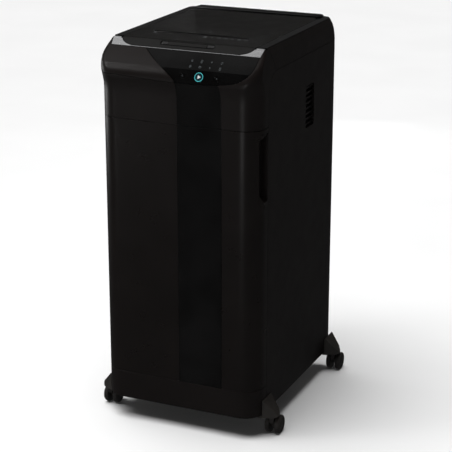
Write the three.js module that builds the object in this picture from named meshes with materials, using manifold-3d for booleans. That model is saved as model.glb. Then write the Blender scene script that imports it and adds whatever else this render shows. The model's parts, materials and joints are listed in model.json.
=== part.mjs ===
// Upright office paper shredder: a pull-out bin drawer in a floor-standing cabinet, a cutter block
// over the bin, an auto-feed paper tray under a rear-hinged lid, and four twin-wheel casters.
//
// Millimetres, +Z up, X across the front. The drawing is made in "depth" coordinates: y = 0 is the
// flat of the drawer front and y grows towards the rear. One group at the end moves the whole
// cabinet so that the middle of its footprint on the floor is the origin.
import * as THREE from 'three';
import { mergeVertices } from 'three/addons/utils/BufferGeometryUtils.js';
import Module from 'manifold-3d';

const wasm = await Module();
wasm.setup();

// ---- Driving dimensions ------------------------------------------------------------------------

const FRONT_Y = -283; // where the drawer front stands once the footprint is centred
const HALF_WIDTH = 220;
const DEPTH = 542;
const BODY_BOTTOM = 62;
const DRAWER_BOTTOM = 137;
const DRAWER_TOP = 828;
const SIDE_TOP = 961; // top edge of the side panels
const RIM_TOP = 1022; // flat top of the head and of the lid
const HINGE_COVER_TOP = 1028;
const GAP = 0.6; // joint line between neighbouring mouldings
const CLEAR = 0.3; // hidden assembly clearance
const WALL = 4; // front mouldings
const SKIN = 3; // side, rear and top mouldings
const CORNER_STEPS = 5; // facets in each rounded front corner

// Front of the cabinet from the drawer's top edge up to the rim. At each height: the depth of the
// front face, the corner radius, the half width, and the depth where the side covers begin.
const FRONT_PROFILE = [
  { z: DRAWER_TOP, front: 0, radius: 52, half: 220, seam: 69 },
  { z: 900, front: 0, radius: 52, half: 220, seam: 69 },
  { z: 914, front: -1, radius: 51, half: 220, seam: 69 },
  { z: 926, front: -2.5, radius: 48, half: 220, seam: 74 },
  { z: 936, front: -4, radius: 45, half: 220, seam: 79 },
  { z: 945, front: -3.5, radius: 40, half: 220, seam: 84 },
  { z: 955, front: 0, radius: 34, half: 220, seam: 97 },
  { z: 961, front: 4, radius: 29, half: 220, seam: 114 },
  { z: 968, front: 9, radius: 24, half: 219.8, seam: 110.5 },
  { z: 985, front: 27, radius: 10, half: 218.3, seam: 102 },
  { z: 1003, front: 51, radius: 6, half: 215.3, seam: 93 },
  { z: 1021, front: 73.9, radius: 5, half: 209.2, seam: 84 },
];

const TRIM_BOTTOM = 1003; // joint line under the silver trim that frames the lid's lip
const TRIM_WALL = 5;
const LIP_WALL = 3; // thickness of the lid's front lip
const LIP_BOTTOM = 1005.5;
const LIP_HALF = 181;
const LIP_CORNER = 46;

const STRIP_LEFT = 3; // the gloss strip runs up the front, right of the middle
const STRIP_RIGHT = 123;
const STRIP_WALL = 1.9;

const LID = { half: 184, front: 72.4, rear: 500, corner: 20, hingeZ: 1015.7, barrel: 6.3, under: 1019.2 };
const SLOT = { left: -138, right: 121, front: 166.5, rear: 174.8, bottom: 985 };
const TRAY = { half: 146, front: 90, rear: 428, bottom: 935.5, rim: 1007, wall: 2.5 };

const VENT = { y: 352, z: 820, width: 58, height: 112, slots: 8 };
const GRIP = { x: 199.5, bottom: 640, top: 815, front: 27 };

const FEET = { x: 238, front: 69, rear: 529, trail: 16 };
const WHEEL = { radius: 25, outer: 20, inner: 6.8, axle: 3.5, facets: 16 };
const STEM = 4;

const CUTTER = { front: 146, rear: 196, z: 880, disc: 29, spacer: 20.5, shaft: 8, discs: 6, pitch: 45 };
const MODULE = 2.5;
const CUTTER_TEETH = 20;
const IDLER_TEETH = 28;
const PINION_TEETH = 12;
const GEAR_X = [158, 170];
const FEED = { y: 230, z: 930, roller: 15, pulley: 14 };
const IDLER_Y = CUTTER.rear + MODULE * (CUTTER_TEETH + IDLER_TEETH) / 2;
const PINION_Y = IDLER_Y + MODULE * (IDLER_TEETH + PINION_TEETH) / 2;

const BUTTON_TILT = THREE.MathUtils.degToRad(24.7); // how far the key row leans back
const BUTTONS = [
  { name: 'start_button', x: 63, y: 1.1, z: 953, radius: 12, proud: 0.4 },
  { name: 'reverse_button', x: 19, y: 0, z: 953, radius: 6.5, proud: 0.4 },
  { name: 'forward_button', x: 111, y: 0, z: 953, radius: 6.5, proud: 0.4 },
];

const INLET = { x: -150, z: 120, rockerZ: 152 };

// ---- Finishes ----------------------------------------------------------------------------------

const FINISH = {
  shell: { color: 0x1b1716, roughness: 0.42, metalness: 0 },
  gloss: { color: 0x050505, roughness: 0.06, metalness: 0 },
  lid: { color: 0x1c1b1a, roughness: 0.5, metalness: 0 },
  silver: { color: 0xc9cbcd, roughness: 0.25, metalness: 0.9 },
  teal: { color: 0x46aaaa, roughness: 0.3, metalness: 0 },
  steel: { color: 0x8d9094, roughness: 0.4, metalness: 0.9 },
  chrome: { color: 0xd8dadc, roughness: 0.12, metalness: 1 },
  dark: { color: 0x24211f, roughness: 0.6, metalness: 0 },
  motor: { color: 0x2b2e30, roughness: 0.45, metalness: 0.5 },
  rubber: { color: 0x1a1a1a, roughness: 0.9, metalness: 0 },
  board: { color: 0x1e5a36, roughness: 0.6, metalness: 0 },
};

// ---- Solids and booleans -----------------------------------------------------------------------

function toManifold(geometry) {
  const bare = geometry.clone();
  bare.deleteAttribute('normal');
  bare.deleteAttribute('uv');
  const merged = mergeVertices(bare, 1e-4);
  const vertProperties = new Float32Array(merged.attributes.position.array);
  const triVerts = new Uint32Array(merged.index.array);
  return new wasm.Manifold(new wasm.Mesh({ numProp: 3, vertProperties, triVerts }));
}

function toGeometry(solid) {
  const mesh = solid.getMesh();
  const geometry = new THREE.BufferGeometry();
  geometry.setAttribute('position', new THREE.BufferAttribute(new Float32Array(mesh.vertProperties), 3));
  geometry.setIndex(new THREE.BufferAttribute(new Uint32Array(mesh.triVerts), 1));
  return geometry;
}

function combine(method, first, others) {
  return toGeometry(others.reduce((solid, other) => solid[method](toManifold(other)), toManifold(first)));
}

const cut = (first, ...tools) => combine('subtract', first, tools);
const join = (first, ...others) => combine('add', first, others);
const common = (first, ...others) => combine('intersect', first, others);

function box(x0, x1, y0, y1, z0, z1) {
  const geometry = new THREE.BoxGeometry(x1 - x0, y1 - y0, z1 - z0);
  return geometry.translate((x0 + x1) / 2, (y0 + y1) / 2, (z0 + z1) / 2);
}

const X_AXIS = new THREE.Vector3(1, 0, 0);
const Y_AXIS = new THREE.Vector3(0, 1, 0);
const Z_AXIS = new THREE.Vector3(0, 0, 1);
const PLANE_YZ = new THREE.Matrix4().makeBasis(Y_AXIS, Z_AXIS, X_AXIS);
const PLANE_XZ = new THREE.Matrix4().makeBasis(X_AXIS, Z_AXIS, Y_AXIS.clone().negate());

function extrude(points, length, holes = []) {
  const toPoints = (list) => list.map(([u, v]) => new THREE.Vector2(u, v));
  const shape = new THREE.Shape(toPoints(points));
  shape.holes = holes.map((hole) => new THREE.Path(toPoints(hole)));
  return new THREE.ExtrudeGeometry(shape, { depth: length, bevelEnabled: false });
}

// Prisms of an outline drawn in plan [x, y], in side view [y, z] and in front view [x, z].
const prismZ = (points, z0, z1, holes) => extrude(points, z1 - z0, holes).translate(0, 0, z0);
const prismX = (points, x0, x1, holes) => (
  extrude(points, x1 - x0, holes).applyMatrix4(PLANE_YZ).translate(x0, 0, 0));
const prismY = (points, y0, y1, holes) => (
  extrude(points, y1 - y0, holes).applyMatrix4(PLANE_XZ).translate(0, y1, 0));

function arc(u, v, radiusU, radiusV, from, to, steps) {
  return Array.from({ length: steps + 1 }, (_, i) => {
    const angle = THREE.MathUtils.degToRad(from + (to - from) * i / steps);
    return [u + radiusU * Math.cos(angle), v + radiusV * Math.sin(angle)];
  });
}

const circle = (u, v, radius, steps) => arc(u, v, radius, radius, 0, 360, steps).slice(0, -1);
const rodX = (radius, x0, x1, y, z, steps = 12) => prismX(circle(y, z, radius, steps), x0, x1);
const rodZ = (radius, x, y, z0, z1, steps = 12) => prismZ(circle(x, y, radius, steps), z0, z1);

// A turned piece lying along X, with a flat facet underneath: the profile lists [radius, x] from the
// left end to the right end.
function turnedX(profile, y, z, steps) {
  const points = profile.map(([radius, x]) => new THREE.Vector2(radius, x));
  const upright = new THREE.LatheGeometry(points, steps);
  return upright.rotateZ(-Math.PI / 2).rotateX(Math.PI / steps).translate(0, y, z);
}

// Closed solid through a stack of level outlines with equal point counts, anticlockwise from above.
function loft(rings) {
  const count = rings[0].length;
  const index = [];
  for (let ring = 0; ring + 1 < rings.length; ring += 1) {
    for (let i = 0; i < count; i += 1) {
      const a = ring * count + i;
      const b = ring * count + (i + 1) % count;
      index.push(a, b, b + count, a, b + count, a + count);
    }
  }
  const cap = (ring) => {
    const flat = ring.map((point) => new THREE.Vector2(point.x, point.y));
    return THREE.ShapeUtils.triangulateShape(flat, []);
  };
  const top = (rings.length - 1) * count;
  cap(rings[0]).forEach(([a, b, c]) => index.push(a, c, b));
  cap(rings.at(-1)).forEach(([a, b, c]) => index.push(top + a, top + b, top + c));
  const geometry = new THREE.BufferGeometry().setFromPoints(rings.flat());
  geometry.setIndex(index);
  return geometry;
}

const mirrored = (points) => points.map(([u, v]) => [-u, v]).reverse();

// ---- Front surface of the cabinet --------------------------------------------------------------

function frontAt(z) {
  const rows = FRONT_PROFILE;
  const upper = Math.max(1, rows.findIndex((row) => row.z >= z));
  const [a, b] = z > rows.at(-1).z ? rows.slice(-2) : [rows[upper - 1], rows[upper]];
  const t = (z - a.z) / (b.z - a.z);
  const mix = (key) => (z <= rows[0].z ? rows[0][key] : a[key] + (b[key] - a[key]) * t);
  return { front: mix('front'), radius: mix('radius'), half: mix('half'), seam: mix('seam') };
}

// Plan of the front at a height, from the left seam round both corners to the right seam.
function frontPath(z, inset) {
  const row = frontAt(z);
  const half = row.half - inset;
  const front = row.front + inset;
  const radius = Math.max(row.radius - inset, 1);
  const left = arc(-half + radius, front + radius, radius, radius, 180, 270, CORNER_STEPS);
  const right = arc(half - radius, front + radius, radius, radius, 270, 360, CORNER_STEPS);
  return [[-half, row.seam], ...left, ...right, [half, row.seam]];
}

// Band of the front: a wall behind the surface, and for a cutting tool some way in front of it too.
function frontShell(z0, z1, wall, proud = 0) {
  const heights = [z0, ...FRONT_PROFILE.map((row) => row.z).filter((z) => z > z0 && z < z1), z1];
  return loft(heights.map((z) => {
    const outline = [...frontPath(z, -proud), ...frontPath(z, wall).reverse()];
    return outline.map(([x, y]) => new THREE.Vector3(x, y, z));
  }));
}

// Joint line between the shoulder below and the bezel and control panel above, as height over x.
const shoulderTop = (x) => 934 + 7 * Math.min(Math.abs(x) / 160, 1) ** 2;
const shoulderLine = (x0, x1, lift) => Array.from({ length: 7 }, (_, i) => {
  const x = x0 + (x1 - x0) * i / 6;
  return [x, shoulderTop(x) + lift];
});

const FAR = 300; // beyond the cabinet on every side
const DIAGONAL = [[-2, 938], [-23, 955.8], [-64, 979], [-106, TRIM_BOTTOM]];
const diagonal = (shift) => DIAGONAL.map(([x, z]) => [x + shift, z]);
const panelEdge = (grow) => [
  ...arc(122, 990, 80 + grow, 50 + grow, 270, 360, 8),
  [202.5 + grow, TRIM_BOTTOM],
];
const stripRegion = (grow) => [
  [STRIP_LEFT - grow, DRAWER_TOP],
  [STRIP_RIGHT + grow, DRAWER_TOP],
  [STRIP_RIGHT + grow, 880],
  [STRIP_RIGHT + grow - 1.7, 912],
  [STRIP_RIGHT + grow - 6, 945],
  [STRIP_LEFT - grow - 5, 945],
  [STRIP_LEFT - grow - 1.7, 905],
  [STRIP_LEFT - grow, 880],
];
const trimRegion = (grow) => [
  [-203 - grow, TRIM_BOTTOM + GAP - grow],
  [203 + grow, TRIM_BOTTOM + GAP - grow],
  [207.5 + grow, 1021.5],
  [-207.5 - grow, 1021.5],
];
const lipRegion = (grow) => [
  ...arc(-LIP_HALF + LIP_CORNER, 1021, LIP_CORNER + grow, 1021 - LIP_BOTTOM + grow, 180, 270, 6),
  ...arc(LIP_HALF - LIP_CORNER, 1021, LIP_CORNER + grow, 1021 - LIP_BOTTOM + grow, 270, 360, 6),
  [LIP_HALF + grow, 1026],
  [-LIP_HALF - grow, 1026],
];

// ---- Scene graph -------------------------------------------------------------------------------

const cabinet = new THREE.Group();
cabinet.position.y = FRONT_Y;

function add(name, geometry, finish) {
  const mesh = new THREE.Mesh(geometry, new THREE.MeshStandardMaterial(FINISH[finish]));
  mesh.name = name;
  cabinet.add(mesh);
}

// ---- Cabinet -----------------------------------------------------------------------------------

function addBase() {
  const plan = (inset) => {
    const half = HALF_WIDTH - WALL - inset;
    const radius = 48 - inset;
    const left = arc(-half + radius, WALL + inset + radius, radius, radius, 180, 270, CORNER_STEPS);
    const right = arc(half - radius, WALL + inset + radius, radius, radius, 270, 360, CORNER_STEPS);
    const rear = DEPTH - SKIN - inset;
    const rearRight = [[half, rear - 12], [half - 12, rear]];
    return [...mirrored(rearRight), ...left, ...right, ...rearRight];
  };
  const tray = prismZ(plan(0.4), BODY_BOTTOM, BODY_BOTTOM + 12);
  add('base_tray', cut(tray, prismZ(plan(3.4), BODY_BOTTOM + 4, BODY_BOTTOM + 20)), 'dark');
}

function addSidePanels() {
  const rearRadius = 12;
  const rear = DEPTH - rearRadius;
  const seam = FRONT_PROFILE.filter((row) => row.z <= SIDE_TOP).map((row) => [row.seam + GAP, row.z]);
  const frontCorner = [[0, DRAWER_TOP], ...seam, [seam.at(-1)[0], SIDE_TOP + 1], [0, SIDE_TOP + 1]];
  const inner = HALF_WIDTH - SKIN;
  const plan = [
    [inner, 69 + GAP],
    [HALF_WIDTH, 69 + GAP],
    ...arc(HALF_WIDTH - rearRadius, rear, rearRadius, rearRadius, 0, 90, 4),
    [196, DEPTH],
    [196, DEPTH - SKIN],
    ...arc(HALF_WIDTH - rearRadius, rear, rearRadius - SKIN, rearRadius - SKIN, 90, 0, 4),
  ];
  const y0 = VENT.y - VENT.width / 2;
  const z0 = VENT.z - VENT.height / 2;
  const pocketWall = 2;
  const floor = HALF_WIDTH - 8;
  const sides = { left: -1, right: 1 };
  for (const [side, sign] of Object.entries(sides)) {
    const across = (x0, x1) => (sign > 0 ? [x0, x1] : [-x1, -x0]);
    const pocket = (x0, x1, grow) => box(...across(x0, x1), y0 - grow, y0 + VENT.width + grow,
      z0 - grow, z0 + VENT.height + grow);
    const pitch = VENT.height / VENT.slots;
    const slots = Array.from({ length: VENT.slots }, (_, i) => box(...across(floor - 5, floor + 1), y0 + 4,
      y0 + VENT.width - 4, z0 + pitch * i + 3.5, z0 + pitch * (i + 1) - 3.5));
    const panel = cut(prismZ(sign > 0 ? plan : mirrored(plan), BODY_BOTTOM, SIDE_TOP),
      prismX(frontCorner, ...across(150, FAR)));
    const tub = pocket(floor - pocketWall, HALF_WIDTH - 1, pocketWall);
    add(`side_panel_${side}`, cut(join(panel, tub), pocket(floor, FAR, 0), ...slots), 'shell');
  }
}

function addRearPanel() {
  const inset = CLEAR + 1;
  const panel = box(-196 + GAP, 196 - GAP, DEPTH - SKIN, DEPTH, BODY_BOTTOM, SIDE_TOP);
  const opening = box(INLET.x - 15 - inset, INLET.x + 15 + inset, 500, 560, INLET.z - 13 - inset,
    INLET.rockerZ + 14 + inset);
  const slots = Array.from({ length: 6 }, (_, i) => box(-70, 70, 500, 560, 850 + i * 14, 855 + i * 14));
  add('rear_panel', cut(panel, opening, ...slots), 'shell');
}

function addKickPlate() {
  const outline = [...frontPath(DRAWER_BOTTOM, 0), ...frontPath(DRAWER_BOTTOM, WALL).reverse()];
  add('kick_plate', prismZ(outline, BODY_BOTTOM, DRAWER_BOTTOM - GAP), 'shell');
}

function addFront() {
  const shell = frontShell(DRAWER_TOP + GAP, 1018.6, WALL);
  const bezelRegion = (grow) => [
    [-FAR, shoulderTop(FAR) + GAP - grow],
    ...shoulderLine(-180, -3, GAP - grow),
    ...diagonal(grow - GAP / 2),
    [-203 - GAP + grow, TRIM_BOTTOM],
    [-207.5 - GAP + grow, 1021.5],
    [-FAR, 1021.5],
  ];
  const panelRegion = (grow) => [
    ...shoulderLine(1, 118, GAP - grow),
    ...panelEdge(grow),
    ...diagonal(GAP / 2 - grow).reverse(),
  ];
  const inFront = (points, depth = 120) => prismY(points, -40, depth);
  const stripRecess = common(frontShell(DRAWER_TOP, 960, STRIP_WALL + CLEAR, 2), inFront(stripRegion(0.4)));
  const belowLine = [[-FAR, 800], [FAR, 800], ...shoulderLine(FAR, -FAR, -GAP)];
  const shoulder = cut(shell, inFront(bezelRegion(GAP)), inFront(panelRegion(GAP)),
    inFront(trimRegion(GAP)), stripRecess);
  add('front_shoulder', shoulder, 'shell');
  add('bezel', common(shell, inFront(bezelRegion(0))), 'shell');

  const stripShell = frontShell(DRAWER_TOP + GAP, 960, STRIP_WALL);
  add('shoulder_strip', common(stripShell, inFront(stripRegion(0)), inFront(belowLine)), 'gloss');

  const holes = BUTTONS.map((button) => buttonBarrel(button, button.radius + 0.6, -12, 12));
  add('control_panel', cut(common(shell, inFront(panelRegion(0), 70)), ...holes), 'gloss');

  const band = common(frontShell(TRIM_BOTTOM, 1021, TRIM_WALL), inFront(trimRegion(0), 79));
  const lipSpace = common(frontShell(TRIM_BOTTOM - 1, 1023, LIP_WALL + 0.5, 2), inFront(lipRegion(0.8)));
  const underLid = box(-LID.half - 1, LID.half + 1, 60, 100, LID.under - 0.8, 1030);
  add('trim_band', cut(band, lipSpace, underLid), 'silver');
}

// Round bar along a key's travel, from an inner to an outer distance along the panel's normal.
function buttonBarrel({ x, y, z }, radius, inner, outer, steps = 14) {
  const barrel = new THREE.CylinderGeometry(radius, radius, outer - inner, steps);
  barrel.rotateX(Math.PI).translate(0, -(outer + inner) / 2, 0);
  return barrel.rotateX(-BUTTON_TILT).translate(x, y, z);
}

function addButtons() {
  for (const button of BUTTONS) {
    const cap = buttonBarrel(button, button.radius, -4, button.proud);
    const plunger = buttonBarrel(button, 2.5, -14, -3, 8);
    add(button.name, join(cap, plunger), button.radius > 10 ? 'teal' : 'gloss');
  }
}

function addHeadCover() {
  const rows = [
    { z: SIDE_TOP + GAP, half: 220, rear: DEPTH, radius: 12 },
    { z: 985, half: 218.3, rear: DEPTH, radius: 14 },
    { z: 1003, half: 215.3, rear: 541.5, radius: 18 },
    { z: 1014, half: 211.6, rear: 540.5, radius: 22 },
    { z: RIM_TOP, half: 208.6, rear: 538, radius: 24 },
  ];
  const outline = (row, inset) => {
    const half = row.half - inset;
    const rear = row.rear - inset;
    const radius = row.radius - inset;
    return [
      [-half, 20],
      [half, 20],
      ...arc(half - radius, rear - radius, radius, radius, 0, 90, 4),
      ...arc(-half + radius, rear - radius, radius, radius, 90, 180, 4),
    ];
  };
  const stack = (inset, drop) => loft(rows.map((row, i) => {
    const z = i === 0 ? row.z - drop : row.z - (i === rows.length - 1 ? drop : 0);
    return outline(row, inset).map(([x, y]) => new THREE.Vector3(x, y, z));
  }));
  const seam = [[114 + GAP, SIDE_TOP], [85.1 + GAP, 1018.8], [79.6, 1018.8]];
  const front = [[-50, 940], ...seam, [79.6, 1040], [-50, 1040]];
  const opening = box(-LID.half - 1, LID.half + 1, 0, LID.rear + LID.barrel + 1, 1010, 1040);
  const boss = (x0) => cut(box(x0, x0 + 9, LID.rear - 8, LID.rear + 8, 1008, 1020),
    rodX(2.9, x0 - 5, x0 + 14, LID.rear, LID.hingeZ, 8));
  const shell = cut(stack(0, 0), stack(SKIN, SKIN), prismX(front, -FAR, FAR), opening);
  add('head_cover', join(shell, boss(-196), boss(187)), 'gloss');

  const ridge = [
    [-186, RIM_TOP + CLEAR],
    [186, RIM_TOP + CLEAR],
    [180, HINGE_COVER_TOP - 2],
    [172, HINGE_COVER_TOP],
    [-172, HINGE_COVER_TOP],
    [-180, HINGE_COVER_TOP - 2],
  ];
  add('hinge_cover', prismY(ridge, LID.rear + LID.barrel + 1, 538), 'gloss');
  add('hinge_rod', rodX(2.5, -195.5, 195.5, LID.rear, LID.hingeZ, 8), 'steel');
}

// ---- Lid and manual slot -----------------------------------------------------------------------

function addLid() {
  const rear = LID.rear;
  const plate = [
    [-LID.half, LID.front + 10],
    [-LIP_HALF, LID.front + 2],
    [LIP_HALF, LID.front + 2],
    [LID.half, LID.front + 10],
    ...arc(LID.half - LID.corner, rear - LID.corner, LID.corner, LID.corner, 0, 90, 4),
    ...arc(-LID.half + LID.corner, rear - LID.corner, LID.corner, LID.corner, 90, 180, 4),
  ];
  const top = prismZ(plate, LID.under, RIM_TOP);
  const ring = (grow, bottom, height) => box(-181 + grow, 181 - grow, 84 + grow, 486 - grow, bottom, height);
  const skirt = cut(ring(0, 1008.2, LID.under + 1), ring(2.6, 1000, LID.under));
  const lip = common(frontShell(LIP_BOTTOM - 1, 1021, LIP_WALL), prismY(lipRegion(0), -40, 120));
  const barrel = rodX(LID.barrel, -160, 160, rear, LID.hingeZ);
  const barrelBore = rodX(3.1, -170, 170, rear, LID.hingeZ, 8);
  const { left, right, front } = SLOT;
  const aroundSlot = (x, y, z0, z1) => box(left - x, right + x, front - y, SLOT.rear + y, z0, z1);
  const slotCut = aroundSlot(4, 3.4, 1000, 1040);
  const pocket = [...arc(72, 1015.8, 4.2, 4.2, -90, 90, 6), ...arc(-68, 1015.8, 4.2, 4.2, 90, 270, 6)];
  const shell = cut(join(top, skirt, lip, barrel), barrelBore, slotCut, prismY(pocket, 30, 79));
  add('lid_shell', shell, 'lid');

  const flap = [[-52.5, 1012.5], [54.5, 1012.5], [54.5, 1019.1], [-52.5, 1019.1]];
  add('lid_latch', common(frontShell(1011, 1021, LIP_WALL - 0.4), prismY(flap, 30, 79)), 'lid');

  const chute = aroundSlot(3.4, 2.8, SLOT.bottom, RIM_TOP + 0.4);
  add('slot_chute', cut(chute, aroundSlot(0, 0, 900, 1100)), 'gloss');

  const hinge = { y: 415, z: 1004 };
  const ears = [-115.5, 112.5].map((x) => box(x, x + 3, hinge.y - 5, hinge.y + 5, 998, 1014));
  const liner = join(box(-177.8, 177.8, 87.2, 482.8, 1013.5, 1015.5), ...ears);
  add('lid_liner', cut(liner, slotCut, rodX(2.5, -130, 130, hinge.y, hinge.z, 8)), 'dark');

  const plateSide = [[195, 946], [hinge.y + 1, 1002], [hinge.y - 1, 1005], [195, 949]];
  const flatPlate = prismX(plateSide, -110, 110);
  const knuckle = rodX(3.4, -110, 110, hinge.y, hinge.z);
  const pin = rodX(1.9, -114.5, 114.5, hinge.y, hinge.z, 8);
  add('pressure_plate', join(flatPlate, knuckle, pin), 'steel');
}

function addPaperTray() {
  const { half, front, rear, bottom, rim, wall } = TRAY;
  const basin = box(-half, half, front, rear, bottom, rim);
  const flange = box(-183, 183, 86, 490, rim - 2.5, rim);
  const hollow = box(-half + wall, half - wall, front + wall, rear - wall, bottom + wall, rim + 10);
  const throat = box(SLOT.left, SLOT.right, 160, 182, 900, 950);
  const windows = [-90, 50].map((x) => box(x, x + 40, 212, 248, 900, 950));
  add('paper_tray', cut(join(basin, flange), hollow, throat, ...windows), 'dark');
}

// ---- Drawer ------------------------------------------------------------------------------------

function addDrawer() {
  const bottom = DRAWER_BOTTOM;
  const outer = frontPath(bottom, 0);
  const shell = prismZ([...outer, ...frontPath(bottom, WALL).reverse()], bottom, DRAWER_TOP - GAP);
  const cupEnvelope = prismZ([...outer], GRIP.bottom - 6, GRIP.top + 4);
  const gripSide = [
    [GRIP.front, GRIP.bottom + 21],
    [43, GRIP.bottom],
    [66, GRIP.bottom],
    [66, GRIP.top],
    [62, GRIP.top],
    [GRIP.front, GRIP.top - 13],
  ];
  const cups = [-1, 1].map((sign) => {
    const [x0, x1] = sign > 0 ? [GRIP.x - 2.5, HALF_WIDTH] : [-HALF_WIDTH, -GRIP.x + 2.5];
    return common(cupEnvelope, box(x0, x1, GRIP.front - 3, 69, GRIP.bottom - 4, GRIP.top + 3));
  });
  const pockets = [prismX(gripSide, GRIP.x, FAR), prismX(gripSide, -FAR, -GRIP.x)];
  const recess = box(STRIP_LEFT - 0.4, STRIP_RIGHT + 0.4, -5, STRIP_WALL + CLEAR, bottom - 5, DRAWER_TOP);
  add('drawer_front', cut(join(shell, ...cups), ...pockets, recess), 'shell');
  add('drawer_strip', box(STRIP_LEFT, STRIP_RIGHT, 0, STRIP_WALL, bottom, DRAWER_TOP - GAP), 'gloss');

  const floorPlan = [[-193, 492], [-193, 62], [-165, 8.4], [165, 8.4], [193, 62], [193, 492]];
  const floor = prismZ(floorPlan, 141, 144);
  const runners = [box(-197, -192, 60, 492, 141, 178), box(192, 197, 60, 492, 141, 178)];
  const bracket = box(-160, 160, WALL + CLEAR, 9, 141, 210);
  add('drawer_cradle', join(floor, ...runners, bracket), 'steel');

  const bin = box(-189, 189, 10, 486, 144.4, 775);
  add('waste_bin', cut(bin, box(-186, 186, 13, 483, 147.4, 800)), 'dark');
}

function addFrame() {
  const sides = { left: -1, right: 1 };
  for (const [side, sign] of Object.entries(sides)) {
    const across = (x0, x1) => (sign > 0 ? [x0, x1] : [-x1, -x0]);
    const plate = box(...across(205, 207), 76, 532, 74.5, DRAWER_TOP + 0.5);
    const window = box(...across(200, 215), 140, 470, 240, 700);
    add(`frame_${side}`, cut(plate, window), 'steel');
    const rail = box(...across(198, 204.6), 80, 525, 146, 176);
    const groove = box(...across(190, 201), 70, 540, 152, 170);
    add(`drawer_rail_${side}`, cut(rail, groove), 'steel');
  }
  const deck = box(-207, 207, 76, 532, DRAWER_TOP + 1, DRAWER_TOP + 4);
  add('cutter_deck', cut(deck, box(-144, 144, 112, 232, 800, 850)), 'steel');
}

// ---- Cutter block and drive --------------------------------------------------------------------

function gearOutline(teeth, phase) {
  const pitch = MODULE * teeth / 2;
  const root = pitch - 1.1 * MODULE;
  const tip = pitch + 0.9 * MODULE;
  const corners = [[-0.3, root], [-0.13, tip], [0.13, tip], [0.3, root]];
  return Array.from({ length: teeth }, (_, i) => corners.map(([share, radius]) => {
    const angle = phase + (i + share) * 2 * Math.PI / teeth;
    return [radius * Math.cos(angle), radius * Math.sin(angle)];
  })).flat();
}

const gear = (teeth, phase, y, z, holes) => (
  prismX(gearOutline(teeth, phase), ...GEAR_X, holes).translate(0, y, z));

function addCutterShafts() {
  const quarter = CUTTER.pitch / 4; // the discs of one shaft run between those of the other
  const shafts = [
    { name: 'cutter_shaft_front', y: CUTTER.front, aside: -quarter, left: -160, phase: 0 },
    { name: 'cutter_shaft_rear', y: CUTTER.rear, aside: quarter, left: -172, phase: Math.PI * 1.05 },
  ];
  const discHalf = quarter - 0.5;
  for (const { name, y, aside, left, phase } of shafts) {
    const profile = [[0, left]];
    if (left < -165) {
      profile.push([FEED.pulley, left], [FEED.pulley, left + 10]);
    }
    profile.push([CUTTER.shaft, profile.at(-1)[1]], [CUTTER.shaft, -147], [CUTTER.spacer, -147]);
    for (let i = 0; i < CUTTER.discs; i += 1) {
      const x = (i - (CUTTER.discs - 1) / 2) * CUTTER.pitch + aside;
      const edges = [[CUTTER.spacer, x - discHalf], [CUTTER.disc, x - discHalf]];
      profile.push(...edges, ...edges.map(([radius]) => [radius, x + discHalf]).reverse());
    }
    profile.push([CUTTER.spacer, 147], [CUTTER.shaft, 147], [CUTTER.shaft, 172], [0, 172]);
    add(name, join(turnedX(profile, y, CUTTER.z, 12), gear(CUTTER_TEETH, phase, y, CUTTER.z)), 'steel');
  }
}

function addCutterFrame() {
  const leftPlate = box(-155, -150, 100, 250, 835, 944);
  const rightPlate = box(150, 155, 100, 352, 835, 944);
  const bars = [[107, 928], [107, 842], [243, 842]].map(([y, z]) => rodX(5, -152, 152, y, z, 8));
  const stub = rodX(5.8, 154, 171, IDLER_Y, CUTTER.z);
  const bores = [
    rodX(CUTTER.shaft + 0.8, -FAR, FAR, CUTTER.front, CUTTER.z),
    rodX(CUTTER.shaft + 0.8, -FAR, FAR, CUTTER.rear, CUTTER.z),
    rodX(4.8, -FAR, FAR, FEED.y, FEED.z),
    rodX(8, 100, FAR, PINION_Y, CUTTER.z),
  ];
  add('cutter_frame', cut(join(leftPlate, rightPlate, ...bars, stub), ...bores), 'steel');
}

function addDrive() {
  add('idler_gear', gear(IDLER_TEETH, Math.PI, IDLER_Y, CUTTER.z, [circle(0, 0, 6.4, 12)]), 'steel');
  const pinion = gear(PINION_TEETH, Math.PI * (1 + 1 / PINION_TEETH), PINION_Y, CUTTER.z);
  add('motor_pinion', join(pinion, rodX(5, 126, 172, PINION_Y, CUTTER.z, 10)), 'steel');

  const canProfile = [[0, 8], [36, 8], [42, 14], [42, 140], [36, 149.6], [0, 149.6]];
  const can = turnedX(canProfile, PINION_Y, CUTTER.z, 18);
  add('drive_motor', cut(can, rodX(5.6, 124, 160, PINION_Y, CUTTER.z, 10)), 'motor');

  const { roller, pulley } = FEED;
  const profile = [
    [0, -172], [pulley, -172], [pulley, -162], [4, -162], [4, -85], [roller, -85], [roller, -55], [4, -55],
    [4, 55], [roller, 55], [roller, 85], [4, 85], [4, 160], [0, 160],
  ];
  add('feed_roller_shaft', turnedX(profile, FEED.y, FEED.z, 14), 'rubber');

  const lean = THREE.MathUtils.radToDeg(Math.atan2(FEED.z - CUTTER.z, FEED.y - CUTTER.rear));
  const loop = (radius) => [
    ...arc(FEED.y, FEED.z, radius, radius, lean - 90, lean + 90, 8),
    ...arc(CUTTER.rear, CUTTER.z, radius, radius, lean + 90, lean + 270, 8),
  ];
  add('feed_belt', prismX(loop(pulley + 2.6), -171, -163, [loop(pulley + 0.8)]), 'rubber');
}

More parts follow.
